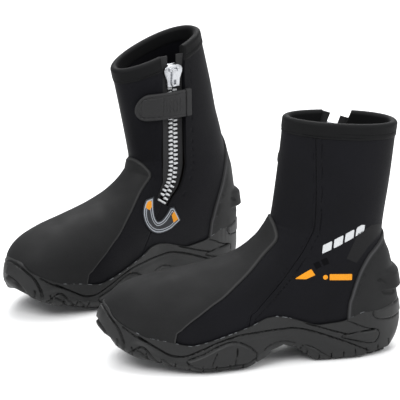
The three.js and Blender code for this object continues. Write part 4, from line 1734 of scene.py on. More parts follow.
@dataclass(frozen=True)
class Guards:
    """The rubber laminated over the toe and the cap round the heel with its fin strap ledge."""

    sink: float = 6.0
    toe_round: float = 1.4
    heel_round: float = 2.2
    ledge_reach: float = 30.0
    ledge_top: float = 84.0
    ledge_depth: float = 5.6
    pockets: tuple = (
        ((31, 70), (24, 63), (12, 60), (8, 63), (17, 67.5)),
        ((34, 80), (27, 75), (22, 76), (28, 82)),
    )

    def build(self, boot: Boot) -> list[Thing]:
        """Builds both guards of one boot."""
        return [self.toe(boot), self.heel(boot)]

    def edged(self, sheet: Sheet, inside: Measure, width: float) -> dict[str, Array]:
        """Values that mark a band just inside the rim, where the colour turns paler."""
        distance = inside(sheet.base)
        return {"edge": np.clip(1 - np.abs(distance - width / 2) / (width / 2), 0, 1)}

    def toe(self, boot: Boot) -> Thing:
        """The toe guard.

        Args:
            boot: the boot.

        Returns:
            The finished piece.
        """
        inside = boot.beyond(TOE_GUARD_EDGE)
        sheet = boot.skin.copy().cut(lambda p: inside(p)).cut(boot.above_sole(self.sink))
        sheet.loops(inside, 0.25, 0.6, 1.0, self.toe_round, 2.2)
        outer = GAP + rim_profile(inside(sheet.base), RUBBER_SKIN, self.toe_round)
        solid = shell(sheet, outer, GAP, self.edged(sheet, inside, 2.2))
        return boot.keep(solid, "toe_rubber", Finish.GUARD, "boot", ["toe_guard"])

    def heel(self, boot: Boot) -> Thing:
        """The heel cap.

        Args:
            boot: the boot.

        Returns:
            The finished piece.
        """
        line = boot.beyond(HEEL_CAP_EDGE)
        inside = lambda p: -line(p)
        sheet = boot.skin.copy().cut(inside).cut(boot.above_sole(self.sink))
        sheet.loops(inside, 0.3, 0.8, 1.4, self.heel_round, 3.2, 4.2)
        sheet.loops(lambda p: p[:, 2], 66, 67.5, 69.5, 71, 83.5, 84.5, 85.5, 86.5, 87.5)
        for pocket in self.pockets:
            hollow = boot.within(pocket, 2.5)
            sheet.loops(hollow, 0.0, 0.8, 1.6)
        points = sheet.base
        outer = GAP + rim_profile(inside(points), RUBBER_SKIN, self.heel_round)
        groove = Relief(lambda p: 1.0 - np.abs(inside(p) - 5.2), -0.7, 0.8).lift(points)
        ahead = 1 - smooth(points[:, 0], self.ledge_reach - 16, self.ledge_reach + 2)
        rise = smooth(points[:, 2], 66, 71) * (
            1 - smooth(points[:, 2], self.ledge_top - 0.5, self.ledge_top + 3.5)
        )
        edge = smooth(inside(points), 2, 6)
        outer = outer + groove + self.ledge_depth * rise * ahead * edge
        for pocket in self.pockets:
            hollow = boot.within(pocket, 2.5)
            outer = outer - 1.5 * smooth(hollow(points), 0, 1.6) * edge
        solid = shell(sheet, outer, GAP, self.edged(sheet, inside, 3.0))
        return boot.keep(solid, "heel_rubber", Finish.HEEL, "boot", ["heel_cap"])


@dataclass(frozen=True)
class SoleShape:
    """The moulded outsole: its wall with raised blocks and grooves, and its tread lugs."""

    lug_height: float = 3.5
    lug_root: float = 0.5
    lug_size: tuple[float, float] = (9.0, 12.0)
    lug_rows: Triple = (24.0, 256.0, 11.5)
    lug_pitch: float = 15.0
    lug_spread: float = 0.84
    lip: float = 2.3
    waist: float = 0.3
    rows: int = 30
    step: float = 1.7

    def outline(self) -> tuple[Array, Array]:
        """Plan outline as places along the boot and half widths to both sides.

        Returns:
            Places along the boot, and the half widths to its outer and inner side.
        """
        fine = curve(
            np.stack([SOLE_OUTER[:, 0], SOLE_OUTER[:, 1], np.interp(SOLE_OUTER[:, 0], *SOLE_INNER.T)], 1),
            self.step
        )
        fine[:, 0] = np.clip(fine[:, 0], 0, BASE_LENGTH)
        keep = np.concatenate([[True], np.diff(fine[:, 0]) > 0.02])
        fine = fine[keep]
        fine[[0, -1], 1:] = 0
        return fine[:, 0], np.maximum(fine[:, 1:], 0)

    def under(self, s: Array) -> Array:
        """Height of the sole's underside: above the lugs where there are lugs."""
        share = smooth(s, 10, 24) * (1 - smooth(s, 252, 266))
        return np.interp(s, *SOLE_UNDER.T) + self.lug_height * share

    def grid(self, boot: Boot) -> Sheet:
        """Closed sheet of the whole sole: spine, floor, wall, lip, inner wall and spine again.

        Args:
            boot: the boot.

        Returns:
            The sheet.
        """
        length, width = boot.form.length, boot.form.width
        s, halves = self.outline()
        sides = np.concatenate([np.stack([s, halves[:, 0]], 1), np.stack([s, -halves[:, 1]], 1)[-2:0:-1]])
        sides = np.vstack([sides, sides[:1]]) * [length, width]
        s = sides[:, 0] / length
        spine = np.stack([np.clip(sides[:, 0], 36 * length, 250 * length), np.zeros(len(s))], 1)
        ray = sides - spine
        far = np.linalg.norm(ray, axis=1)
        ray = ray / np.maximum(far, 1e-6)[:, None]
        top = np.interp(s, *SOLE_TOP.T)
        kernel = np.ones(5) / 5
        top = np.convolve(np.concatenate([top[-4:-1], top, top[1:4]]), kernel, "same")[3:-3]
        under = np.minimum(self.under(s), top - 12)
        lip = boot.form.reach(spine, ray, top, 0.0) + self.lip
        lip = np.minimum(lip, far + 6)
        rows: list[Array] = []
        at = lambda radius, height: np.column_stack([spine + ray * np.asarray(radius)[:, None], height])
        spine_under = self.under(spine[:, 0] / length)
        rows.append(at(far * 0, spine_under))
        for share in (0.3, 0.6, 0.8):
            rows.append(at(far * share, spine_under * (1 - share) + under * share))
        for t in np.linspace(0, 1, self.rows):
            height = under + (top - under) * t
            if t < self.waist:
                radius = far * (0.9 + 0.1 * math.sin(math.pi / 2 * t / self.waist))
            else:
                bend = (t - self.waist) / (1 - self.waist)
                radius = far + (lip - far) * (bend ** (1.5 + 1.6 * smooth(s, 264, 290)))
            rows.append(at(radius, height))
        wall = (4, 4 + self.rows)
        rows.append(at(lip - 1.2, top + 0.35))
        rows.append(at(lip - self.lip + 0.15, top - 0.2))
        floor = np.interp(spine[:, 0], *(STATIONS[5:, [2, 3]] * [length, 1]).T) - 0.6
        for share in (0.35, 0.7):
            level = top * (1 - share) + (floor + 4) * share
            rows.append(at(np.minimum(boot.form.reach(spine, ray, level, 0.4), far - 0.8), level))
        rows.append(at(far * 0.45, floor))
        rows.append(at(far * 0, floor))
        base = np.stack(rows)
        around = np.concatenate([[0], np.cumsum(np.linalg.norm(np.diff(sides, axis=0), axis=1))])
        down = np.arange(len(rows)) * 1.5
        cloth = np.stack(np.meshgrid(around, down), 2)
        outward = np.zeros_like(base)
        steps_u, steps_v = np.gradient(base, axis=0), np.gradient(base, axis=1)
        steps_v[:, 0] = steps_v[:, -1] = base[:, 1] - base[:, -2]
        normal = unit(np.cross(steps_u, steps_v))
        normal = normal * np.sign((normal[:, :, :2] * ray).sum(2, keepdims=True) + 1e-9)
        outward[wall[0] : wall[1] - 1] = normal[wall[0] : wall[1] - 1]
        return Sheet.grid(
            len(rows), base.shape[1], base.reshape(-1, 3), outward.reshape(-1, 3), cloth.reshape(-1, 2)
        )

    def reliefs(self, boot: Boot) -> list[Relief]:
        """Blocks and grooves of the wall, drawn on the side view.

        Args:
            boot: the boot.

        Returns:
            The reliefs.
        """
        scale = np.array([boot.form.length, 1])
        def groove(points: Outline, width: float, depth: float, closed: bool = False) -> Relief:
            """A groove along a line."""
            line = curve(points, 2.0, closed) * scale
            return Relief(
                lambda p: width / 2 - np.abs(line_distance(p[:, [0, 2]], line, 8.0)[0]), -depth,
                width / 2.4
            )
        def block(points: Outline, rise: float, slope: float = 1.3, radius: float = 4.0) -> Relief:
            """A raised area with round corners."""
            line = rounded(points, radius) * scale
            return Relief(lambda p: inside_distance(p[:, [0, 2]], line, 8.0), rise, slope)
        def rim(points: Outline, width: float, depth: float, radius: float = 4.0) -> Relief:
            """A groove inside the edge of an area."""
            line = rounded(points, radius) * scale
            edge = lambda p: inside_distance(p[:, [0, 2]], line, 8.0) + width / 2
            return Relief(lambda p: width / 2 - np.abs(edge(p)), -depth, width / 2.5)
        drop = [(66, 25), (46, 27.6), (28, 27.5), (27, 21), (32, 14.5)]
        pill = [(33, 50), (33, 43), (29, 39.5), (14, 36.5), (4, 37), (-5, 38), (-5, 50)]
        arch = [
            (218.8, 14.6), (203.6, 19.6), (188.4, 27.1), (177, 30.6), (168, 29.9), (157.8, 24.2),
            (149.8, 15.5), (160, 9), (205, 8)
        ]
        low = [
            (262, 35), (245, 25), (233, 19), (219, 18), (203, 24), (188, 30), (168, 35),
            (147, 36), (125, 36), (113, 35.7), (98, 32), (77, 24), (55, 14.5), (37, 4.5),
        ]
        below = [(40, -10), (290, -10), (285, 30)]
        slits = []
        for s in (*range(14, 100, 12), *range(150, 286, 13)):
            u = float(np.interp(s, *SOLE_UNDER.T)) + self.lug_height
            slits.append(groove([(s, u - 1), (s + 1.5, u + 6.5)], 2.0, 1.6))
        return [
            *slits,
            block(low + below, 1.3, 5.0),
            block(drop, 0.9),
            rim(drop, 1.8, 1.7),
            block(pill, 0.8),
            rim(pill, 1.6, 1.4),
            rim(arch, 2.2, 1.6),
            groove([(s, z + 2) for s, z in low], 2.6, 1.8),
            groove([(105, 44), (96, 40), (78, 33), (60, 27)], 2.2, 1.6),
            groove([(66, 42.6), (54, 38), (42, 32), (32, 28.7)], 2.0, 1.5),
            groove([(102.4, 19.8), (93.8, 16.4), (84, 10), (74.4, 4.2)], 1.8, 1.3),
            groove([(109, 11), (106, 15), (103.5, 19.4)], 1.8, 1.3),
            block(arch, 1.2),
            groove([(170, 25), (171, 17), (172, 8)], 2.4, 1.8),
            groove([(190, 22), (193, 15), (195, 9.6)], 1.6, 1.3),
            groove([(270, 21), (263, 27), (257.5, 27), (250.5, 19.5), (243, 12.4)], 2.8, 2.0),
            groove([(293, 61), (287, 52), (281, 44), (277, 34), (275, 25)], 3.0, 2.2),
            groove([(276, 45), (266, 38), (256, 33)], 2.4, 1.6),
            groove([(264, 24), (257, 20), (250, 12)], 3.0, 2.0),
            groove([(240, 17), (234, 12), (230, 7)], 2.6, 1.8),
            groove([(143, 20), (136, 24), (124, 26), (112, 23)], 2.4, 1.6),
            groove([(298, 46), (292, 37), (284, 23)], 3.4, 2.2),
        ]

    def build(self, boot: Boot) -> list[Thing]:
        """Builds the sole of one boot and its tread.

        Args:
            boot: the boot.

        Returns:
            The finished pieces.
        """
        sheet = self.grid(boot)
        height = sheet.carve(self.reliefs(boot))
        proud = np.linalg.norm(sheet.outward, axis=1) > 0.01
        # Painted shade: points sunk into the wall are marked for the darker colour, fully from 1.2 mm deep.
        marks = {"edge": np.where(proud, np.clip(-height / 1.2, 0, 1), 0.0)}
        sole = self.closed(sheet, height, marks)
        made = [boot.keep(sole, "outsole", Finish.SOLE, "boot", ["sole"], 55.0)]
        made.append(self.tread(boot))
        made.append(self.glue(boot))
        return made

    def glue(self, boot: Boot) -> Thing:
        """Small beads of glue along the sole's upper edge.

        Args:
            boot: the boot.

        Returns:
            The finished piece.
        """
        chance = np.random.default_rng(5)
        length, width = boot.form.length, boot.form.width
        solids: list[Solid] = []
        for table, sign, spans in (
            (SOLE_OUTER, 1, ((40, 60), (112, 132), (146, 268))), (SOLE_INNER, -1, ((40, 60), (150, 262)))
        ):
            for low, high in spans:
                at = low + 3.0
                while at < high:
                    s = np.linspace(at, at + chance.uniform(1.2, 5.0), 6)
                    top = np.interp(s, *SOLE_TOP.T)
                    spine = np.stack([np.clip(s, 36, 250) * length, np.zeros(6)], 1)
                    edge = np.stack([s * length, sign * np.interp(s, *table.T) * width], 1)
                    ray = unit(edge - spine)
                    far = boot.form.reach(spine, ray, top + 0.6, self.lip - 0.25)
                    line = np.column_stack([spine + ray * far[:, None], top + 0.25])
                    solids.append(cord_along(line, chance.uniform(0.2, 0.42)))
                    at = s[-1] + chance.uniform(1.5, 11.0)
        return boot.keep(together(solids), "glue_beads", Finish.GLUE, "boot")

    def closed(self, sheet: Sheet, height: Array, marks: dict[str, Array]) -> Solid:
        """The closed sheet as a solid, with its points welded.

        Args:
            sheet: the sheet.
            height: how far each point is raised.
            marks: values for the finish at each point.

        Returns:
            The closed piece.
        """
        kept, faces, cloth = weld(sheet)
        points = sheet.base[kept] + sheet.outward[kept] * height[kept, None]
        return Solid(points, faces, cloth, {label: values[kept] for label, values in marks.items()})

    def tread(self, boot: Boot) -> Thing:
        """Lugs under the heel and the ball of the foot.

        Args:
            boot: the boot.

        Returns:
            The finished piece.
        """
        tall = self.lug_height + self.lug_root
        lug = Bench("lug").block((*self.lug_size, tall), (0, 0, 0)).done(1.0, 2)
        solids: list[Solid] = []
        for s in np.arange(*self.lug_rows):
            under = float(np.interp(s, *SOLE_UNDER.T))
            outer = float(np.interp(s, *SOLE_OUTER.T)) * self.lug_spread
            inner = float(np.interp(s, *SOLE_INNER.T)) * self.lug_spread
            count = max(1, int((outer + inner) // self.lug_pitch))
            for k in range(count):
                lat = -inner + (outer + inner) * (k + 0.5) / count
                slope = (float(np.interp(s + 3, *SOLE_UNDER.T)) - float(np.interp(s - 3, *SOLE_UNDER.T))) / 6
                shift = np.array([s * boot.form.length, lat * boot.form.width, under + tall / 2])
                points = lug.points * [1, min(1.0, (outer + inner) / count / self.lug_pitch), 1]
                points = points + shift + points[:, :1] * [0, 0, slope]
                points[:, 2] = np.maximum(points[:, 2], 0)
                solids.append(Solid(points, lug.faces))
        return boot.keep(together(solids), "tread_lugs", Finish.TREAD, "boot")


@dataclass(frozen=True)
class SideZip:
    """The zip: two tapes, two rows of teeth, the bottom stop, the gusset, the slider and its pull."""

    start: float = 14.0
    tooth: Triple = (3.4, 2.7, 3.4)
    head: float = 2.1

    def build(self, boot: Boot) -> list[Thing]:
        """Builds the zip of one boot.

        Args:
            boot: the boot.

        Returns:
            The finished pieces.
        """
        line = boot.zip
        end = line.length - 3
        made: list[Thing] = []
        low = TAPE_LEVEL - TAPE / 2
        for name, sign in (("front", -1), ("rear", 1)):
            near = TOOTH_REACH + GAP
            def tape(stops: Array, sign: int = sign, near: float = near) -> list[tuple]:
                """Section of one tape."""
                far = line.half(stops) - GAP
                return [
                    (sign * near, low), (sign * far, low), (sign * far, low + TAPE),
                    (sign * near, low + TAPE)
                ]
            made.append(
                boot.keep(
                    line.strip(4, line.length, tape), f"{name}_zip_tape", Finish.TAPE, "boot",
                    [f"zip_tape_{name}"]
                )
            )
            made.append(
                boot.keep(
                    self.row(line, sign, end), f"{name}_zip_teeth", Finish.TEETH, "boot",
                    [f"zip_teeth_{name}"]
                )
            )
            made.append(boot.keep(self.bead(line, sign, end), f"{name}_zip_cord", Finish.TAPE, "boot"))
        stop = Bench("stop").block((2 * TOOTH_REACH, 2.4, 3.2), (0, 0, TAPE_LEVEL)).done(0.8, 3)
        made.append(
            boot.keep(
                line.seat(stop, line.length - 1.4), "bottom_stop", Finish.TEETH, "boot",
                ["zip_bottom_stop"]
            )
        )
        made.append(boot.keep(self.gusset(line), "zip_gusset", Finish.LINING, "boot", ["zip_gusset"]))
        made.append(
            boot.keep(
                line.seat(self.slider(), SLIDER_DOWN), "zip_slider", Finish.CHROME, "slider",
                ["zip_slider"]
            )
        )
        made.append(
            boot.keep(line.seat(self.pull(), SLIDER_DOWN), "zip_pull", Finish.CHROME, "pull", ["zip_pull"])
        )
        return made

    def row(self, line: ZipLine, sign: int, end: float) -> Solid:
        """One row of teeth.

        Args:
            line: the zip's line.
            sign: -1 in front, 1 behind.
            end: where it ends, down from the collar.

        Returns:
            The closed piece.
        """
        width, length, depth = self.tooth
        middle = TAPE_LEVEL + 0.2
        stem = Bench("tooth").block(
            (width, length * 0.75, depth), (sign * (TOOTH_REACH - width / 2), 0, middle)
        ).done(0.5, 2)
        head = Bench("tooth head").block(
            (self.head, length, depth), (sign * (ZIP_CORE + self.head / 2), 0, middle)
        ).done(0.6, 2)
        first = self.start + 1.3 + (TOOTH_PITCH / 2 if sign > 0 else 0)
        return together([line.seat(
            together([stem, head]), float(at)
        ) for at in np.arange(first, end - 1.3, TOOTH_PITCH)])

    def bead(self, line: ZipLine, sign: int, end: float) -> Solid:
        """The cord that carries one row of teeth.

        Args:
            line: the zip's line.
            sign: -1 in front, 1 behind.
            end: where it ends, down from the collar.

        Returns:
            The closed piece.
        """
        middle = TAPE_LEVEL + 0.1
        turn = np.linspace(0, 2 * math.pi, 10, endpoint=False)
        return line.strip(self.start, end, lambda stops: [
            (sign * (TOOTH_REACH - 0.65 + 0.6 * math.cos(a)), middle + 1.2 * math.sin(a)) for a in turn])

    def gusset(self, line: ZipLine) -> Solid:
        """The water flap that lies behind the zip.

        Args:
            line: the zip's line.

        Returns:
            The closed piece.
        """
        half = SLOT_HALF + 5
        def section(stops: Array) -> list[tuple]:
            """Section of the flap."""
            return [
                (-half, -9.2), (0, -9.8), (half, -9.2), (half, -7.2), (half - 4, -6.7), (0, -7.8),
                (4 - half, -6.7), (-half, -7.2)
            ]
        return line.strip(HEM_HEIGHT + 8, line.length, section)

    def slider(self) -> Solid:
        """Two heart-shaped plates, the wedge between them and the loop for the pull.

        Returns:
            The closed piece.
        """
        outline = [(7.2, -11.5), (7.7, -4.0), (10.6, 3.45), (11.0, 6.3), (9.8, 9.0), (5.5, 11.5)]
        low, high = TAPE_LEVEL - TOOTH_DEPTH / 2 - 0.2, TAPE_LEVEL + TOOTH_DEPTH / 2 + 0.5
        solids: list[Solid] = []
        for level in (low - 0.65, high + 0.65):
            bench = Bench("plate").block((2, SLIDER_LENGTH, 1.3), (0, 0, level))
            for _, y in outline[1:-1]:
                bench.slice((0, y, 0), (0, 1, 0))
            for half, y in outline:
                bench.pick(lambda co, y=y: abs(co.y - y) < 0.01, "VERT").size((half, 1, 1))
            solids.append(bench.done(0.45, 3, 60))
        flange = (TAPE + 2 * GAP) / 2
        for sign in (-1, 1):
            for bottom, top in ((low - 0.1, TAPE_LEVEL - flange), (TAPE_LEVEL + flange, high + 0.1)):
                wall = Bench("flange").block(
                    (1.9, 18.0, top - bottom), (sign * (TOOTH_REACH + GAP + 0.95), 0, (top + bottom) / 2)
                )
                solids.append(wall.done(0.2, 2))
            ear = Bench("ear").block((2, 4, 2.8), (sign * (3.1 + GAP + 1), 6.9, high + 2.4)).done(0.6, 3)
            solids.append(ear)
        solids.append(
            Bench("wedge").block((0.8, 4, high - low + 0.4), (0, 8.5, (high + low) / 2)).done(0.15, 2)
        )
        return together(solids)

    def pull(self) -> Solid:
        """The tab that lies on the slider, with a slot through its lower part.

        Returns:
            The closed piece.
        """
        bench = Bench("pull").block((6.2, 18, 2), (0, 7.2 - 9, PULL_OUT))
        for y in (-8.8, -3.8, 3.6):
            bench.slice((0, y, 0), (0, 1, 0))
        for x in (-1.55, 1.55):
            bench.slice((x, 0, 0), (1, 0, 0))
        bench.pick(lambda co: abs(co.x) < 1 and -8.8 < co.y < -3.8 and abs(co.z - PULL_OUT) > 0.9)
        bpy.ops.mesh.bridge_edge_loops()
        bench.pick(lambda co: co.y < -10.5, "VERT").size((0.72, 1, 1))
        bench.pick(lambda co: abs(co.y - 3.6) < 0.1, "VERT").size((0.8, 1, 1))
        return bench.done(0.4, 3)


@dataclass(frozen=True)
class Strap:
    """The rubber strap that closes over the zip: its root, the strap and its hook and loop patches."""

    window_u: tuple[float, float] = (0.45, 2.2)
    window_v: tuple[float, float] = (-0.49, -0.01)
    step: float = 0.9
    stitch_in: float = 3.0

    def area(self, boot: Boot, outline: Outline | Array) -> Measure:
        """Measure of an outline drawn in the zip's frame at the strap.

        Args:
            boot: the boot.
            outline: corners of the outline.

        Returns:
            The measure.
        """
        frames = boot.zip.at([STRAP_DOWN])
        x, y = np.array(outline, float).T
        points = frames.point[0] + x[:, None] * frames.rear[0] + y[:, None] * frames.up[0]
        flat = points[:, [0, 2]]
        closed = np.vstack([flat, flat[:1]])
        return lambda p: np.where(p[:, 1] < 0, inside_distance(p[:, [0, 2]], closed), -50.0)

    def tongue(self, rear: float, shrink: float = 0.0) -> Array:
        """Outline from the hinge end to the round tip.

        Args:
            rear: how far back it starts.
            shrink: how far inside the edge it runs.

        Returns:
            The outline.
        """
        half = STRAP_WIDTH / 2 - shrink
        turn = np.radians(np.linspace(90, 270, 25))
        round_half = half * 0.75
        arc = np.stack(
            [-STRAP_REACH + shrink + round_half + round_half * np.cos(turn), half * np.sin(turn)], 1
        )
        return np.vstack([[rear, half], arc, [rear, -half]])

    def patch(
        self, boot: Boot, inside: Measure, low: float, high: float, reliefs: Sequence[Relief] = (),
        soft: float = 0.9
    ) -> Solid:
        """Piece of a layer over the form, inside a measure, with a rounded rim.

        Args:
            boot: the boot.
            inside: measure of the area.
            low: height of its inner face.
            high: height of its outer face.
            reliefs: the raised and sunk areas.
            soft: how far in the edge is rounded.

        Returns:
            The closed piece.
        """
        sheet = boot.window(self.window_u, self.window_v, self.step).cut(inside)
        sheet.loops(inside, soft * 0.3, soft)
        height = sheet.carve(reliefs)
        rim = rim_profile(inside(sheet.base), high - low, soft)
        return shell(sheet, low + rim + height, low)

    def build(self, boot: Boot) -> list[Thing]:
        """Builds the strap of one boot.

        Args:
            boot: the boot.

        Returns:
            The finished pieces.
        """
        low = PATCH * 2 + GAP * 3
        top = low + STRAP_THICK
        half = STRAP_WIDTH / 2
        body = self.area(boot, self.tongue(STRAP_ROOT))
        seam = self.area(boot, self.tongue(STRAP_ROOT + 30, self.stitch_in))
        box = self.area(
            boot,
            [
                (-STRAP_REACH + 24, 10), (-STRAP_REACH + 5, 10), (-STRAP_REACH + 5, -10),
                (-STRAP_REACH + 24, -10)
            ]
        )
        reliefs = [
            Relief(lambda p: 0.6 - np.abs(seam(p)), -0.5, 0.4),
            Relief(lambda p: 0.6 - np.abs(box(p)), -0.5, 0.4)
        ]
        for x in (-9.0, -5.5, -2.0, 1.5, 5.0):
            rib = self.area(boot, [(x, 7), (x - 1.6, 7), (x - 1.6, -7), (x, -7)])
            reliefs.append(Relief(rib, 0.6, 0.5))
        strap = self.patch(boot, body, low, top, reliefs)
        made = [boot.keep(strap, "closing_strap", Finish.STRAP, "strap", ["closing_strap"])]
        rim = self.area(
            boot,
            [
                (-STRAP_REACH + 23, 10), (-STRAP_REACH + 5, 10), (-STRAP_REACH + 5, -10),
                (-STRAP_REACH + 23, -10)
            ]
        )
        made.append(boot.keep(self.patch(boot, rim, PATCH + 2 * GAP, 2 * PATCH + 2 * GAP, (), 0.4),
                              "strap_hook_patch",
                              Finish.NAP, "strap", ["strap_hook_patch"]))
        made.append(boot.keep(self.patch(boot, rim, GAP, GAP + PATCH, (), 0.4), "strap_loop_patch",
                              Finish.NAP, "boot",
                              ["strap_loop_patch"]))
        made.append(boot.keep(self.root(boot, low, half), "strap_root", Finish.STRAP, "boot", ["strap_root"]))
        return made

    def root(self, boot: Boot, low: float, half: float) -> Solid:
        """The stitched foot of the strap: thick behind the zip, thin where it reaches over it.

        Args:
            boot: the boot.
            low: height of its inner face.
            half: half its width.

        Returns:
            The closed piece.
        """
        def band(start: float, end: float) -> Measure:
            """A band across the strap."""
            return self.area(boot, [(start, half), (start, -half), (end, -half), (end, half)])
        whole = band(STRAP_ROOT + 2 * GAP, SLOT_HALF + 5)
        sheet = boot.window(self.window_u, self.window_v, self.step).cut(whole)
        thick = band(SLOT_HALF + GAP, SLOT_HALF + 6)
        sheet.loops(thick, 0.0, 0.15).loops(whole, 0.3, 0.9)
        rim = rim_profile(whole(sheet.base), STRAP_THICK, 0.9)
        foot = np.where(thick(sheet.base) > 0.1, GAP, low)
        return shell(sheet, low + rim, foot)


@dataclass(frozen=True)
class AnkleBadge:
    """The moulded badge round the zip's lower end, with two pale outlines and two orange caps."""

    place: tuple[float, float] = (120, 92)
    step: float = 0.7
    line: float = 1.15
    print_rise: float = 0.12

    def outline(self) -> Array:
        """Outline on the side view of the straight boot.

        Returns:
            The outline.
        """
        def bow(start: tuple, middle: tuple, end: tuple, steps: int = 9) -> list[Array]:
            """Points on a bent side."""
            t = np.linspace(0, 1, steps)[:-1, None]
            return list(
                (1 - t) ** 2 * np.array(start) + 2 * t * (1 - t) * np.array(middle) + t**2 * np.array(end)
            )
        points = [*bow((18, 6), (30, -6), (25, -18)), *bow((25, -18), (16, -35), (-8, -29)),
                  np.array([-8, -29]),
                  np.array([-21, -22]), np.array([-13, -6]), *bow((-8, -6), (2, -19), (9, -17)),
                  *bow((9, -17), (15, -12), (8, 8)), np.array([8, 8])]
        return np.array(points, float) + self.place

    def build(self, boot: Boot) -> list[Thing]:
        """Builds the badge of one boot.

        Args:
            boot: the boot.

        Returns:
            The finished pieces.
        """
        inside = boot.within(self.outline())
        inner = lambda p: np.where(p[:, 1] < 0, inside(p), -50.0)
        source = boot.window((3.4, 8.6), (-0.49, -0.01), self.step).cut(inner)
        source.loops(inner, 0.3, 0.9)
        rim = rim_profile(inner(source.base), BADGE - 0.1, 0.9)
        made = [
            boot.keep(shell(source, GAP + rim, GAP), "ankle_badge", Finish.BADGE, "boot", ["ankle_badge"])
        ]
        top = GAP + BADGE - 0.1
        ring = source.copy().cut(lambda p: self.line / 2 - np.abs(inner(p) - 2.0))
        made.append(
            boot.keep(shell(ring, top + self.print_rise, top - 0.05), "badge_outline", Finish.SILVER, "boot")
        )
        inset = source.copy().cut(lambda p: self.line / 2.6 - np.abs(inner(p) - 4.2))
        if inset.faces:
            made.append(
                boot.keep(
                    shell(inset, top + self.print_rise, top - 0.05), "badge_inner_line", Finish.SILVER,
                    "boot"
                )
            )
        caps = [[(15, 6), (22, 0), (17, -4.5), (10, 1)], [(-17, -20), (-11, -22.5), (-9, -14), (-13.5, -10)]]
        for name, cap in zip(("upper", "lower"), caps):
            area = boot.within(np.array(cap, float) + self.place)
            sheet = source.copy().cut(area).cut(lambda p: inner(p) - 2.6)
            if sheet.faces:
                made.append(
                    boot.keep(
                        shell(sheet, top + self.print_rise * 1.3, top - 0.05), f"badge_{name}_cap",
                        Finish.ORANGE, "boot"
                    )
                )
        return made


@dataclass(frozen=True)
class SidePrints:
    """Generic prints on the ankle's outer side: pale blocks, gloss squares, orange flash and bar."""

    rise: float = 0.14
    step: float = 0.8
    blocks: int = 4
    start: tuple[float, float] = (86.0, 113.5)
    end: tuple[float, float] = (42.0, 133.0)
    half: float = 3.6

    def slab(self, a: Array, b: Array, side: Array) -> Outline:
        """A slanted block from one place to another, a side step wide on both sides."""
        return [tuple(a - side), tuple(b - side), tuple(b + side), tuple(a + side)]

    def shapes(self) -> list[tuple[str, Finish, list[list[tuple[float, float]]]]]:
        """Each print's name, finish and outlines on the side view.

        Returns:
            Name, finish and outlines of each print.
        """
        start, end = np.array(self.start), np.array(self.end)
        along = (end - start) / np.linalg.norm(end - start)
        square = np.array([along[1], -along[0]]) * self.half
        pitch = np.linalg.norm(end - start) / self.blocks
        pale = []
        for k in range(self.blocks):
            a = start + along * (pitch * k + 1.2)
            b = start + along * (pitch * (k + 1) - 1.2)
            slant = along * 2.2
            pale.append(self.slab(a, b, square + slant))
        gloss = []
        for k in (0, 1):
            a = np.array([92.5, 101.0]) + along * (8.0 * k) - [0, 3.5]
            b = a + along * 6.0
            gloss.append(self.slab(a, b, square * 0.9))
        turn = np.linspace(0, 2 * np.pi, 16, endpoint=False)
        disc = [(82.0 + 2.4 * math.cos(t), 86.4 + 2.4 * math.sin(t)) for t in turn]
        bar = [(78.0, 89.4), (56.1, 88.2), (56.1, 82.0), (78.0, 83.3)]
        return [
            ("pale_blocks", Finish.PALE, pale),
            ("gloss_squares", Finish.GLOSS, gloss),
            ("orange_flash", Finish.ORANGE, [[(111.6, 86.0), (95.7, 95.1), (91.8, 88.9), (100.7, 85.2)]]),
            ("orange_bar", Finish.ORANGE, [disc, bar]),
            (
                "grey_fade", Finish.GREY,
                [[(50, 127), (24, 138), (18, 131), (21, 124), (40, 112), (52, 99), (62, 104)]]
            ),
        ]

    def build(self, boot: Boot) -> list[Thing]:
        """Builds the prints of one boot.

        Args:
            boot: the boot.

        Returns:
            The finished pieces.
        """
        made: list[Thing] = []
        for name, finish, outlines in self.shapes():
            parts: list[Solid] = []
            for outline in outlines:
                area = boot.within(np.array(outline, float))
                sheet = boot.window((1.8, 6.8), (0.1, 0.44), self.step)
                sheet.cut(lambda p: np.where(p[:, 1] > 0, area(p), -50.0))
                if sheet.faces:
                    parts.append(shell(sheet, self.rise, 0.02))
            if parts:
                made.append(boot.keep(together(parts), name, finish, "boot"))
        return made


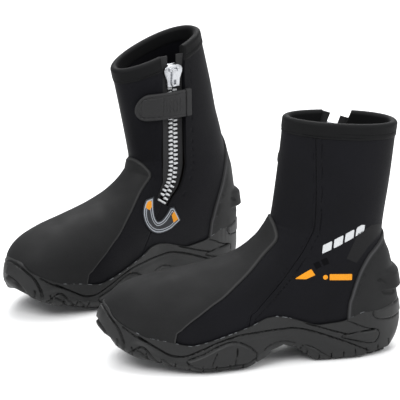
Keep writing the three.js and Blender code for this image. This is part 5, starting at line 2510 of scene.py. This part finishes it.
# ------------------------------------------------------------------ studio
@dataclass(frozen=True)
class Studio:
    """Pale floor, soft lights and the camera."""

    azimuth: float = -10.0
    elevation: float = 18.0
    distance: float = 2.6
    lens: float = 238.7
    aim: tuple[float, float] = (-0.1941, 0.1405)

    def build(self, heel: Array) -> None:
        """Builds the studio.

        Args:
            heel: the left boot's heel, in metres.
        """
        scene = bpy.context.scene
        a, e = math.radians(self.azimuth), math.radians(self.elevation)
        right = Vector((math.cos(a), math.sin(a), 0))
        back = Vector((math.sin(a) * math.cos(e), -math.cos(a) * math.cos(e), math.sin(e)))
        up = back.cross(right)
        data = bpy.data.cameras.new("camera")
        data.lens, data.sensor_width = self.lens, 36.0
        data.dof.use_dof = False
        camera = bpy.data.objects.new("camera", data)
        scene.collection.objects.link(camera)
        aim = Vector(heel) + right * self.aim[0] + up * self.aim[1]
        turn = Matrix((right, up, back)).transposed().to_4x4()
        camera.matrix_world = Matrix.Translation(aim + back * self.distance) @ turn
        scene.camera = camera
        bpy.ops.mesh.primitive_plane_add(size=12, location=(0, 0, 0))
        floor = bpy.context.active_object
        floor.name = "floor"
        n = Nodes.new("Pale floor")
        speck = n.noise(n.place(), 40.0, 2.0)
        n.feed("Base Color", n.mix(speck, (0.84, 0.84, 0.84), (0.87, 0.87, 0.87)))
        n.shader.inputs["Roughness"].default_value = 0.6
        floor.data.materials.append(n.material)
        middle = Vector((0, 0, 0.1))
        for name, way, far, size, power in (
            ("key light", (-0.9, -1.3, 1.7), 2.2, 1.1, 36.0),
            ("fill light", (1.5, -1.1, 1.0), 2.3, 1.4, 20.0),
            ("rim light", (0.3, 1.6, 1.5), 2.3, 1.2, 26.0),
            ("top light", (0.0, 0.1, 1.0), 2.0, 1.8, 26.0),
        ):
            light = bpy.data.lights.new(name, "AREA")
            light.size, light.energy = size, power
            lamp = bpy.data.objects.new(name, light)
            scene.collection.objects.link(lamp)
            spot = middle + Vector(way).normalized() * far
            facing = (spot - middle).to_track_quat("Z", "Y").to_matrix().to_4x4()
            lamp.matrix_world = Matrix.Translation(spot) @ facing
        world = bpy.data.worlds.new("world")
        scene.world = world
        world.use_nodes = True
        world.node_tree.nodes["Background"].inputs["Color"].default_value = (0.94, 0.95, 0.97, 1)
        world.node_tree.nodes["Background"].inputs["Strength"].default_value = 0.7
        scene.view_settings.view_transform = "Standard"


def main() -> None:
    """Builds both boots and the studio."""
    logging.basicConfig(level=logging.INFO, format="%(message)s")
    for side in ("left", "right"):
        boot = Boot.of(side)
        for assembly in (Upper(), Guards(), SoleShape(), SideZip(), Strap(), AnkleBadge(), SidePrints()):
            for piece in assembly.build(boot):
                LOG.info("%s: %d faces", piece.name, len(piece.data.polygons))
    Studio().build(Stance.of("left").heel)


if __name__ == "__main__":
    main()
